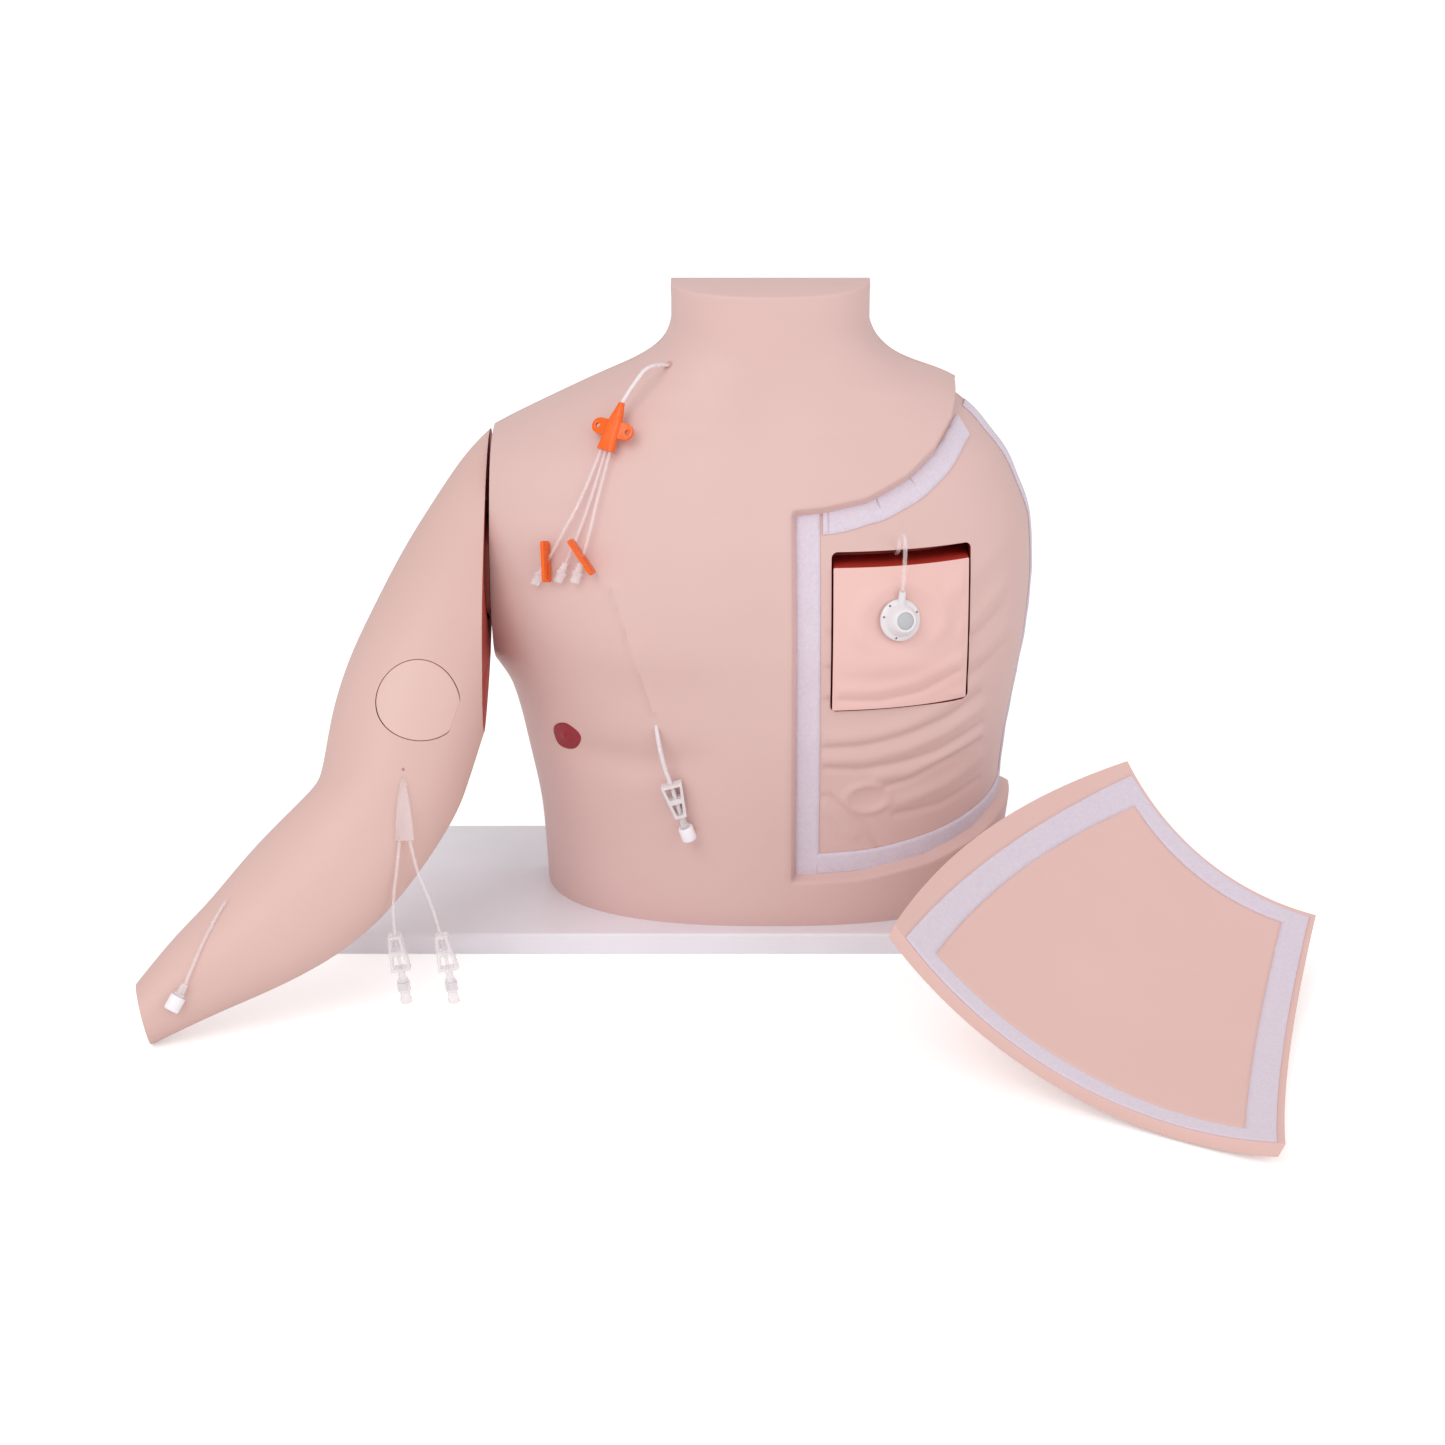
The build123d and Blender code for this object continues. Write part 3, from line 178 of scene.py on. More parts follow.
class Look:
    """A material with a plain shader, whose patterns follow the object's own coordinates."""

    def __init__(self, name, colour, rough, **fixed):
        self.material = bpy.data.materials.new(name)
        self.material.use_nodes = True
        self.tree = self.material.node_tree
        self.tree.nodes.clear()
        output = self.node("ShaderNodeOutputMaterial")
        self.shader = self.node("ShaderNodeBsdfPrincipled", {}, {
            "Base Color": linear(colour), "Roughness": rough, **fixed})
        self.tree.links.new(self.shader.outputs[0], output.inputs[0])
        self.place = self.node("ShaderNodeTexCoord").outputs["Object"]

    def node(self, kind, settings=None, feeds=None):
        """A new node with its settings, and its sockets fed with numbers, values or sockets."""
        made = self.tree.nodes.new(kind)
        for key, value in (settings or {}).items():
            setattr(made, key, value)
        for key, value in (feeds or {}).items():
            socket = made.inputs[key]
            if isinstance(value, Value):
                value = value.socket
            if isinstance(value, bpy.types.NodeSocket):
                self.tree.links.new(value, socket)
            else:
                socket.default_value = value
        return made

    def noise(self, scale, detail=2.0, rough=0.5):
        """A pattern of patches between 0 and 1."""
        made = self.node("ShaderNodeTexNoise", {}, {
            "Vector": self.place, "Scale": scale, "Detail": detail, "Roughness": rough})
        return Value(self, made.outputs[0])

    def near(self, place, radius, soft):
        """1 inside radius of a place, in millimetres, and 0 outside it, with a soft edge."""
        made = self.node("ShaderNodeVectorMath", {"operation": "DISTANCE"}, {
            0: self.place, 1: tuple(x * MM for x in place)})
        away = Value(self, made.outputs["Value"])
        return (((radius + soft) * MM - away) / (soft * MM)).clamped()

    def mix(self, factor, first, second):
        """A colour between two colours or sockets."""
        made = self.node("ShaderNodeMix", {"data_type": "RGBA"}, {
            0: factor, 6: colour_of(first), 7: colour_of(second)})
        return made.outputs[2]

    def feed(self, **sockets):
        """Links values to the shader's sockets, whose spaces are written as underscores."""
        for key, value in sockets.items():
            if isinstance(value, Value):
                value = value.socket
            self.tree.links.new(value, self.shader.inputs[key.replace("_", " ")])

    def bump(self, height, strength, distance):
        """Fine relief in the shading only."""
        made = self.node("ShaderNodeBump", {}, {
            "Strength": strength, "Distance": distance, "Height": height})
        self.tree.links.new(made.outputs[0], self.shader.inputs["Normal"])


def linear(colour):
    """A colour of 0 to 255 as a photograph shows it, turned to linear light."""
    parts = [c / 255 for c in colour]
    return tuple(c / 12.92 if c <= 0.04045 else ((c + 0.055) / 1.055) ** 2.4
                 for c in parts) + (1.0,)


def colour_of(value):
    """A colour tuple made linear, or a socket as it is."""
    return linear(value) if isinstance(value, tuple) else value


def skin_look(name, colour, blush, marks=()):
    """Soft matte vinyl: faint mottling, fine grain, and small painted or pierced marks."""
    look = Look(name, colour, 0.5, **{"Specular IOR Level": 0.35})
    wide = look.noise(9.0, 3.0)
    tone = look.mix((wide * 1.4 - 0.35).clamped(), colour, blush)
    for place, radius, soft, paint in marks:
        tone = look.mix(look.near(place, radius, soft), tone, paint)
    look.feed(Base_Color=tone, Roughness=look.noise(140.0, 2.0) * 0.12 + 0.42)
    look.bump(look.noise(900.0, 3.0, 0.6) + look.noise(60.0, 2.0) * 0.6, 0.08, 0.0006)
    return look.material


def plastic_look(name, colour, rough, wear=0.03, **fixed):
    """Moulded plastic: a faint change of tone and a softly uneven gloss."""
    look = Look(name, colour, rough, **fixed)
    deep = tuple(c * (1 - wear * 3) for c in colour)
    look.feed(Base_Color=look.mix((look.noise(40.0, 3.0) - 0.3).clamped(), colour, deep),
              Roughness=look.noise(220.0, 2.0) * 0.15 + (rough - 0.06))
    look.bump(look.noise(700.0, 2.0), 0.05, 0.0004)
    return look.material


def tape_look():
    """Hook-and-loop tape: a dense short pile in rows, a little fluffed."""
    look = Look("tape_loops", (229, 218, 229), 0.9, **{"Sheen Weight": 0.3,
                                                      "Specular IOR Level": 0.1})
    pile = look.noise(1500.0, 2.0, 0.7)
    tuft = look.noise(380.0, 3.0, 0.6)
    shade = look.mix((pile * 0.7 + tuft * 0.6 - 0.35).clamped(), (212, 198, 212), (238, 228, 238))
    look.feed(Base_Color=shade)
    look.bump(pile + tuft * 0.8, 0.5, 0.0006)
    return look.material


def clear_look(name, colour, share, thin, rough=0.16):
    """Clear or milky plastic: part of the light goes straight through and part is bent."""
    look = Look(name, colour, rough, **{"Transmission Weight": share, "IOR": 1.45,
                                        "Alpha": thin})
    look.feed(Roughness=look.noise(300.0, 2.0) * 0.12 + (rough - 0.05))
    look.bump(look.noise(420.0, 2.0), 0.1, 0.0004)
    return look.material


# Places on the skin: the painted disc in the front view, and where lines come out.
AREOLA = (-136.4, 146.3)
LINE_EXIT = (-67.7, -20.3, 390.6)
CHEST_EXIT = (-77.0, -86.5, 174.5)
ARM_EXIT = (-237.0, -157.6, 158.8)
SKIN = skin_look("torso_vinyl", (221, 186, 181), (216, 180, 174), [
    (LINE_EXIT, 1.2, 3.0, (190, 130, 125)), (CHEST_EXIT, 1.6, 2.5, (186, 128, 122))])
ARM_SKIN = skin_look("arm_vinyl", (219, 183, 176), (214, 177, 168), [
    (ARM_EXIT, 1.1, 0.8, (124, 80, 74))])
INSERT_SKIN = skin_look("insert_vinyl", (235, 194, 188), (230, 187, 179))
COVER_SKIN = skin_look("cover_vinyl", (229, 190, 183), (224, 185, 176))
PAD_SKIN = skin_look("pad_vinyl", (223, 188, 180), (219, 183, 174))
JOINT_RED = plastic_look("joint_red", (178, 62, 50), 0.6, 0.1)
AREOLA_PAINT = plastic_look("areola_paint", (156, 34, 46), 0.5, 0.08)
TAPE = tape_look()
LOOKS = {
    "back_plastic": plastic_look("back_plastic", (216, 182, 174), 0.6, 0.008),
    "board_white": plastic_look("board_white", (238, 234, 241), 0.3, 0.01),
    "tray_red": plastic_look("tray_red", (182, 50, 36), 0.5, 0.05),
    "steel": plastic_look("plain_steel", (186, 186, 190), 0.3, 0.03, Metallic=1.0),
    "dark_rubber": plastic_look("dark_rubber", (128, 50, 42), 0.75),
    "port_white": plastic_look("port_white", (232, 227, 230), 0.3, 0.01),
    "septum_grey": plastic_look("septum_grey", (190, 191, 195), 0.6),
    "orange": clear_look("orange_plastic", (252, 104, 8), 0.1, 1.0, 0.25),
    "clear": clear_look("clear_plastic", (252, 247, 250), 0.3, 0.5, 0.12),
    "clear_tube": clear_look("clear_tube", (250, 240, 242), 0.3, 0.36, 0.12),
    "tube_white": clear_look("milky_tube", (248, 240, 242), 0.15, 0.88, 0.25),
    "cap_white": plastic_look("cap_white", (246, 240, 246), 0.35, 0.01),
    "tape": TAPE, "skin": SKIN, "arm_skin": ARM_SKIN,
}


# Making pieces.

def settle(piece, look, body, slot, *nodes):
    """Gives a finished piece its material and body, and hides the solids that it stands for; the
    slot is not used.
    """
    piece.data.materials.clear()
    piece.data.materials.append(look)
    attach(piece, body)
    if nodes:
        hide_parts(*nodes)


def face_look(piece, look, chosen):
    """Gives the faces that a test picks a second look."""
    piece.data.materials.append(look)
    slot = len(piece.data.materials) - 1
    for face in piece.data.polygons:
        if chosen(face):
            face.material_index = slot


def new_mesh(name, points, faces):
    """A piece from places in millimetres and its faces, which all point outwards after this."""
    mesh = bpy.data.meshes.new(name)
    mesh.from_pydata([tuple(p) for p in np.asarray(points, float) * MM], [], faces)
    piece = bpy.data.objects.new(name, mesh)
    bpy.context.scene.collection.objects.link(piece)
    work = bmesh.new()
    work.from_mesh(mesh)
    bmesh.ops.remove_doubles(work, verts=work.verts, dist=1e-6)
    bmesh.ops.recalc_face_normals(work, faces=work.faces)
    work.to_mesh(mesh)
    work.free()
    return piece


def only(piece):
    """Makes a piece the one that the operators act on."""
    bpy.ops.object.select_all(action="DESELECT")
    piece.select_set(True)
    bpy.context.view_layer.objects.active = piece


def finish_with(piece, kind, **settings):
    """Adds a modifier and applies it."""
    only(piece)
    modifier = piece.modifiers.new(kind.lower(), kind)
    for key, value in settings.items():
        setattr(modifier, key, value)
    bpy.ops.object.modifier_apply(modifier=modifier.name)


def soften(piece, width, segments, degrees=50):
    """Rounds the edges sharper than an angle, by a width in millimetres."""
    finish_with(piece, "BEVEL", width=width * MM, segments=segments, limit_method="ANGLE",
                angle_limit=math.radians(degrees))


def smooth(piece, degrees=35):
    """Smooth shading, apart from edges sharper than an angle."""
    only(piece)
    bpy.ops.object.shade_smooth_by_angle(angle=math.radians(degrees))


def cut_flat(piece, place, normal):
    """Cuts off all that is past a plane and closes the cut."""
    only(piece)
    bpy.ops.object.mode_set(mode="EDIT")
    bpy.ops.mesh.select_all(action="SELECT")
    bpy.ops.mesh.bisect(plane_co=[x * MM for x in place], plane_no=normal, use_fill=True,
                        clear_outer=True)
    bpy.ops.object.mode_set(mode="OBJECT")


def grid_faces(rows, columns, wrap=False):
    """Quads of a grid of places in row order, closed round if asked."""
    last = columns if wrap else columns - 1
    return [(r * columns + c, r * columns + (c + 1) % columns,
             (r + 1) * columns + (c + 1) % columns, (r + 1) * columns + c)
            for r in range(rows - 1) for c in range(last)]


def closed_sheet(name, top, bottom):
    """A closed slab between two grids of places of the same size."""
    rows, columns = top.shape[:2]
    count = rows * columns
    faces = grid_faces(rows, columns)
    faces += [tuple(i + count for i in face[::-1]) for face in faces]
    rim = (list(range(columns)) + [r * columns + columns - 1 for r in range(1, rows)]
           + [(rows - 1) * columns + c for c in range(columns - 2, -1, -1)]
           + [r * columns for r in range(rows - 2, 0, -1)])
    faces += [(a, b, b + count, a + count) for a, b in zip(rim, rim[1:] + rim[:1])]
    return new_mesh(name, np.concatenate([top.reshape(-1, 3), bottom.reshape(-1, 3)]), faces)


def dressed(node, look, slot, body, width):
    """A merged, softly bevelled copy of a solid, which it stands for."""
    source = frame["nodes"][node]
    piece = bpy.data.objects.new(node + "_piece", source.data.copy())
    bpy.context.scene.collection.objects.link(piece)
    work = bmesh.new()
    work.from_mesh(piece.data)
    bmesh.ops.remove_doubles(work, verts=work.verts, dist=2e-6)
    bmesh.ops.dissolve_limit(work, angle_limit=math.radians(0.5), verts=work.verts,
                             edges=work.edges)
    work.to_mesh(piece.data)
    work.free()
    soften(piece, width, 2, 35)
    smooth(piece)
    settle(piece, look, body, slot, node)


# Cords.

def cord(name, points, radius, body, look):
    """A tube along its route, as one smooth spline."""
    curve = bpy.data.curves.new(name, "CURVE")
    curve.dimensions = "3D"
    curve.resolution_u = 24
    curve.bevel_depth = radius * MM
    curve.bevel_resolution = 5
    curve.use_fill_caps = True
    spline = curve.splines.new("NURBS")
    spline.points.add(len(points) - 1)
    for control, place in zip(spline.points, points):
        control.co = (*(x * MM for x in place), 1.0)
    spline.order_u = 3
    spline.use_endpoint_u = True
    piece = bpy.data.objects.new(name + "_piece", curve)
    bpy.context.scene.collection.objects.link(piece)
    curve.materials.append(look)
    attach(piece, body)
    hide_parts(name)


# The tubes' routes, each from where it comes out to its fitting.
PORT_TUBE = [(85.5, -88.8, 256.4), (87.5, -94.8, 293.5), (84.0, -76.2, 293.0),
             (82.5, -76.2, 273.6), (80.5, -38.0, 273.0)]
LINE_TUBE = [(-62.1, -13.4, 387.8), (-78.2, -33.6, 396.2), (-89.5, -41.5, 384.0),
             (-97.4, -45.8, 371.6)]
LUMENS = [
    [(-111.031, -57.785, 343.831), (-121.4, -68.4, 318.0), (-136.4, -77.4, 292.2),
     (-148.0, -77.0, 270.0)],
    [(-108.058, -59.398, 343.484), (-116.6, -69.6, 316.2), (-126.0, -77.6, 291.2),
     (-134.1, -82.3, 274.4)],
    [(-105.086, -61.012, 343.138), (-112.8, -71.8, 316.8), (-118.6, -82.8, 292.3),
     (-124.0, -86.0, 275.5)]]
CHEST_TUBE = [(-77.0, -84.0, 173.5), (-75.8, -101.6, 166.0), (-71.0, -98.9, 138.5),
              (-65.8, -97.6, 124.2), (-59.6, -95.0, 101.0)]
ARM_LUMENS = {
    "right": [(-238.6, -180.2, 119.0), (-239.8, -187.0, 104.0), (-243.4, -190.0, 80.0),
              (-243.2, -191.0, 58.0), (-239.6, -190.4, 33.0)],
    "left": [(-231.8, -180.2, 119.0), (-228.6, -186.0, 103.0), (-219.2, -189.0, 80.0),
             (-213.6, -190.6, 60.0), (-208.9, -190.2, 33.0)]}
FOREARM_TUBE = [(-337.5, -188.0, 82.5), (-345.4, -198.0, 90.6), (-355.2, -211.4, 76.4),
                (-364.4, -225.6, 59.6), (-371.0, -236.6, 44.4)]


# The torso's surface.

def steady(xs, ys, x):
    """A smooth curve through points that never overshoots them."""
    h = np.diff(xs)
    s = np.diff(ys) / h
    slopes = np.zeros(len(xs))
    slopes[0], slopes[-1] = s[0], s[-1]
    for k in range(1, len(xs) - 1):
        if s[k - 1] * s[k] > 0:
            w1, w2 = 2 * h[k] + h[k - 1], h[k] + 2 * h[k - 1]
            slopes[k] = (w1 + w2) / (w1 / s[k - 1] + w2 / s[k])
    k = np.clip(np.searchsorted(xs, x, side="right") - 1, 0, len(xs) - 2)
    t = (x - xs[k]) / h[k]
    return (ys[k] * (1 + 2 * t) * (1 - t) ** 2 + slopes[k] * h[k] * t * (1 - t) ** 2
            + ys[k + 1] * t * t * (3 - 2 * t) + slopes[k + 1] * h[k] * t * t * (t - 1))


def body_size(z):
    """Right and left half widths and depth at a height over the table."""
    share = (np.asarray(z, float) - BOARD_TOP) / TORSO_HEIGHT
    scales = (TORSO_WIDTH / 2, TORSO_WIDTH / 2, TORSO_DEPTH)
    return [steady(STATIONS[:, 0], STATIONS[:, i + 1], share) * scales[i] for i in range(3)]


def smooth_step(value):
    """0 to 1 over a share of 0 to 1, level at both ends."""
    value = np.clip(value, 0.0, 1.0)
    return value * value * (3 - 2 * value)


def bell(x, z, cx, cz, wide, high):
    """A rounded hill of height 1 in the front view."""
    return np.exp(-((x - cx) / wide) ** 2 - ((z - cz) / high) ** 2)


def flesh(x, z):
    """How far the front stands out of the plain barrel, in millimetres."""
    aside = np.abs(x)
    muscle = 7.0 * bell(aside, z, 85.0, 219.0, 55.0, np.where(z > 219.0, 48.0, 30.0))
    # The skinned side has a fold under the chest muscle, which sags towards its middle.
    along = x + 95.0
    sag = 0.0016 * along ** 2
    fold = (2.6 * np.exp(-((z - 168.0 - sag) / 20.0) ** 2 - (along / 52.0) ** 4)
            - 4.6 * np.exp(-((z - 136.0 - sag) / 13.0) ** 2 - (along / 48.0) ** 4))
    throat = -2.0 * bell(x, z, 0.0, 372.0, 20.0, 18.0)
    breastbone = -1.3 * bell(x, z, -2.0, 215.0, 14.0, 95.0)
    collarbone = 2.2 * np.exp(-((z - 352.0 - 0.10 * aside) / 9.0) ** 2
                              - ((aside - 55.0) / 38.0) ** 4)
    return muscle + np.where(x < 8.0, fold, 0.0) + throat + breastbone + collarbone


def surface(turn, z):
    """A place on the torso's skin, by the turn round it from the middle and the height."""
    right, left, depth = body_size(z)
    across = np.abs(np.sin(turn)) ** (2 / ROUNDNESS)
    x = np.where(turn < 0, -right, left) * across
    ahead = np.clip(np.cos(turn), 0.0, 1.0)
    y = BACK_Y - depth * ahead ** (2 / ROUNDNESS) - flesh(x, z) * ahead
    return np.stack([x, y, z + 0 * x], axis=-1)


def surface_normal(turn, z):
    """The way out of the skin at a turn and height."""
    step_turn, step_z = 0.004, 1.0
    top, low = np.minimum(z + step_z, BOARD_TOP + TORSO_HEIGHT), np.maximum(z - step_z, BOARD_TOP)
    onward = (surface(np.clip(turn + step_turn, -FLANK_TURN, FLANK_TURN), z)
              - surface(np.clip(turn - step_turn, -FLANK_TURN, FLANK_TURN), z))
    out = np.cross(onward, surface(turn, top) - surface(turn, low))
    out /= np.maximum(np.linalg.norm(out, axis=-1, keepdims=True), 1e-9)
    backwards = (out[..., 1:2] > 0.05) & (np.abs(out[..., 0:1]) < 0.8)
    return np.where(backwards, -out, out)


def turn_of(x, z):
    """The turn at which the skin has a given x at a height."""
    right, left, _ = body_size(z)
    share = np.clip(np.abs(x) / np.where(x < 0, right, left), 0.0, 1.0)
    return np.sign(x) * np.arcsin(share ** (ROUNDNESS / 2))


def front_place(x, z, inset):
    """A place at an inset from the skin that is seen from the front at x and z."""
    x, z = np.asarray(x, float), np.asarray(z, float)
    tx, tz = x.copy(), z.copy()
    for _ in range(5):
        turn = turn_of(tx, tz)
        place = surface(turn, tz) - surface_normal(turn, tz) * inset
        tx, tz = tx + (x - place[..., 0]), tz + (z - place[..., 2])
    return place, surface_normal(turn_of(tx, tz), tz)


def flank_place(y, z, inset):
    """A place at an inset from the left flank at y and z."""
    y, z = np.asarray(y, float), np.asarray(z, float)
    ty, tz = y.copy(), z.copy()
    for _ in range(5):
        depth = body_size(tz)[2]
        turn = np.arccos(np.clip(np.clip((BACK_Y - ty) / depth, 0, 1) ** (ROUNDNESS / 2), 0, 1))
        place = surface(turn, tz) - surface_normal(turn, tz) * inset
        ty, tz = ty + (y - place[..., 1]), tz + (z - place[..., 2])
    return place, surface_normal(turn, tz)


def line_distance(points, x, z):
    """Distance to a line of straight pieces in the front view."""
    best = np.full(np.shape(x), 1e9)
    for (x1, z1), (x2, z2) in zip(points, points[1:]):
        dx, dz = x2 - x1, z2 - z1
        t = np.clip(((x - x1) * dx + (z - z1) * dz) / (dx * dx + dz * dz), 0, 1)
        best = np.minimum(best, np.hypot(x - x1 - t * dx, z - z1 - t * dz))
    return best


# The sternum tape ends here, and the relief begins.
TAPED_TO = 33.6
# A rib or a hollow each: the line in the front view, how far it stands out, its half width.
RIBS = [
    ([(26, 155), (45, 153), (75, 155), (100, 162), (124, 172), (142, 182)], 1.9, 6.5),
    ([(24, 146), (34, 146), (62, 146.5), (92, 152), (124, 161), (146, 172)], -1.5, 2.6),
    ([(24, 138), (40, 137), (68, 137), (95, 142), (122, 150), (148, 162)], 1.9, 5.0),
    ([(24, 132), (34, 131), (60, 128), (90, 131), (118, 136), (150, 148)], -1.5, 2.6),
    ([(74, 122), (95, 123), (120, 131), (148, 141)], 1.7, 4.5),
    ([(80, 114), (98, 118), (120, 127), (148, 135)], -1.4, 2.4),
    ([(88, 100), (104, 104), (124, 110), (150, 122)], 1.7, 5.5),
    ([(88, 92), (100, 92), (120, 94), (150, 104)], -1.4, 2.6),
    ([(30, 110), (40, 109), (54, 96), (68, 80), (76, 68)], -1.3, 2.2),
    ([(34, 103), (48, 90), (58, 78)], 1.0, 4.0),
    ([(22, 232), (34, 231), (39, 230)], -1.2, 2.2),
    ([(22, 206), (34, 205), (39, 204)], -1.2, 2.2),
    ([(22, 184), (34, 182), (39, 181)], -1.2, 2.2),
    ([(130, 224), (144, 232), (160, 246)], 1.5, 6.0),
    ([(130, 212), (146, 220), (163, 232)], -1.2, 3.0),
    ([(130, 196), (146, 203), (165, 216)], 1.6, 6.0),
    ([(130, 184), (146, 191), (165, 203)], -1.2, 3.0),
    ([(44, 190), (70, 189), (95, 193), (130, 206)], 1.5, 5.0),
    ([(44, 182), (70, 180), (100, 184), (130, 197)], -1.0, 2.6),
    ([(120, 252), (140, 262), (158, 274)], 1.1, 7.0),
]


def ribs(x, z):
    """Relief of the ribs and the low ring on the recess floor, out of it."""
    out = np.zeros(np.shape(x))
    for line, height, half in RIBS:
        out += height * np.exp(-(line_distance(line, x, z) / half) ** 2)
    ring = np.hypot((x - 67.0) / 15.0, (z - 106.0) / 10.5)
    out += 1.5 * np.exp(-((ring - 1.0) / 0.26) ** 2) - 0.9 * np.exp(-(ring / 0.6) ** 2)
    return out * smooth_step((x - TAPED_TO) / 4.0)


TRACK = [(-103.9, 260.1), (-94.2, 231.9), (-85.3, 202.2), (-77.5, 176.0)]


def sternum_x(z):
    """The recess's edge beside the breastbone, at a height."""
    (x1, z1), (x2, z2) = STERNUM
    return x1 + (x2 - x1) * (z - z1) / (z2 - z1)


def column_turn(share, z):
    """The turn of a column left of that edge, from a share of 0 at the edge to 100 at the back."""
    begin = turn_of(sternum_x(z), z)
    close = min(share, EDGE_BAND) * EDGE_TURN
    rest = max(share - EDGE_BAND, 0.0) / (100 - EDGE_BAND)
    return begin + close + (math.pi / 2 - begin - close) * rest


def crossing(share, line, low, high):
    """The height between two others at which a column meets a line of the front view."""
    for _ in range(40):
        middle = (low + high) / 2
        x = surface(column_turn(share, middle), middle)[0]
        if x > np.interp(middle, line[:, 1], line[:, 0]):
            low = middle
        else:
            high = middle
    return (low + high) / 2


def torso_grid():
    """Rows of places up the skin, with its recess, lined up on the recess's edges."""
    def spread(start, end, count):
        """Even steps from a start, without the end."""
        return np.linspace(start, end, count, endpoint=False)
    crown = BOARD_TOP + TORSO_HEIGHT
    foot, top = STERNUM[0][1], STERNUM[1][1]
    marks = [BOARD_TOP, foot, foot + EDGE_BAND, top - EDGE_BAND, top]
    rise = np.concatenate([spread(*span) for span in zip(marks, marks[1:] + [SKIN_TOP],
                                                         TORSO_ROWS)] + [[SKIN_TOP]])
    shares = np.concatenate([spread(0, EDGE_BAND, EDGE_COLUMNS),
                             np.linspace(EDGE_BAND, 100, LEFT_COLUMNS)])
    edge_turn = turn_of(sternum_x(rise), rise)[:, None]
    turn_right = edge_turn - (edge_turn + math.pi / 2) * spread(1, 0, RIGHT_COLUMNS)
    z_right = rise[:, None] + 0 * turn_right
    hems = np.array([crossing(share, HEM, foot, HEM[-1, 1]) for share in shares])
    necks = np.array([crossing(share, NECKLINE, top, NECKLINE[-1, 1]) for share in shares])
    z_left = np.stack([np.interp(rise, marks + [crown], [
        BOARD_TOP, hem, hem + EDGE_BAND, neck - EDGE_BAND, neck, crown])
        for hem, neck in zip(hems, necks)], axis=1)
    turn_left = np.stack([column_turn(share, z_left[:, c]) for c, share in enumerate(shares)],
                         axis=1)
    turn = np.concatenate([turn_right, turn_left], axis=1)
    z = np.concatenate([z_right, z_left], axis=1)
    base = surface(turn, z)
    x = base[..., 0]
    x_left = x[:, RIGHT_COLUMNS:]
    inside = (smooth_step((x_left - sternum_x(z_left)) / EDGE_SLOPE)
              * smooth_step(line_distance(HEM, x_left, z_left) * (z_left > hems) / EDGE_SLOPE)
              * smooth_step(line_distance(NECKLINE, x_left, z_left) * (z_left < necks)
                            / EDGE_SLOPE))
    inset = -TRACK_RISE * np.exp(-(line_distance(TRACK, x, z) / TRACK_HALF) ** 2) * (x < 0)
    inset[:, RIGHT_COLUMNS:] += (RECESS_DEPTH * inside
                                 - ribs(x_left, z_left) * inside ** 2)
    return base - surface_normal(turn, z) * inset[..., None]


def close_shell(name, places):
    """The skin's grid, closed at the neck, the foot and the flat back."""
    top = places[-1]
    way = top[:, :2] - (top[0, :2] + top[-1, :2]) / 2
    way /= np.linalg.norm(way, axis=1, keepdims=True)
    rings = []
    for lift, pull in ((0.55, 0.25), (1.1, 0.7), (1.5, 1.5)):
        ring = top.copy()
        ring[:, :2] -= way * pull
        ring[:, 1] = np.where(top[:, 1] > BACK_Y - 0.01, BACK_Y, ring[:, 1])
        ring[:, 2] += lift
        rings.append(ring)
    places = np.concatenate([places, np.array(rings)])
    rows, columns = places.shape[:2]
    faces = grid_faces(rows, columns)
    faces.append(tuple(range(columns - 1, -1, -1)))
    faces.append(tuple((rows - 1) * columns + c for c in range(columns)))
    faces.append(tuple([r * columns for r in range(rows)]
                       + [r * columns + columns - 1 for r in range(rows - 1, -1, -1)]))
    return new_mesh(name, places.reshape(-1, 3), faces)


def rounded_box(name, x1, x2, y1, y2, z1, z2, radius):
    """A block rounded along its depth, to cut with."""
    bpy.ops.mesh.primitive_cube_add(size=1.0)
    block = bpy.context.object
    block.name = name
    block.data.transform(Matrix.Translation(((x1 + x2) / 2 * MM, (y1 + y2) / 2 * MM,
                                             (z1 + z2) / 2 * MM))
                         @ Matrix.Diagonal(((x2 - x1) * MM, (y2 - y1) * MM, (z2 - z1) * MM, 1)))
    work = bmesh.new()
    work.from_mesh(block.data)
    edges = [e for e in work.edges
             if abs(e.verts[0].co.x - e.verts[1].co.x) < 1e-6
             and abs(e.verts[0].co.z - e.verts[1].co.z) < 1e-6]
    bmesh.ops.bevel(work, geom=edges, offset=radius * MM, segments=6, profile=0.5,
                    affect="EDGES")
    work.to_mesh(block.data)
    work.free()
    return block


def carve(piece, tool, operation="DIFFERENCE"):
    """Cuts a piece with a tool, which is then thrown away."""
    finish_with(piece, "BOOLEAN", object=tool, operation=operation, solver="EXACT")
    bpy.data.objects.remove(tool)


# The pocket's walls are painted the tray's dark red behind this place in depth, as painted shade
# in the slot, and skin in front of it.
SLOT_SHADE_FRONT = -105.0


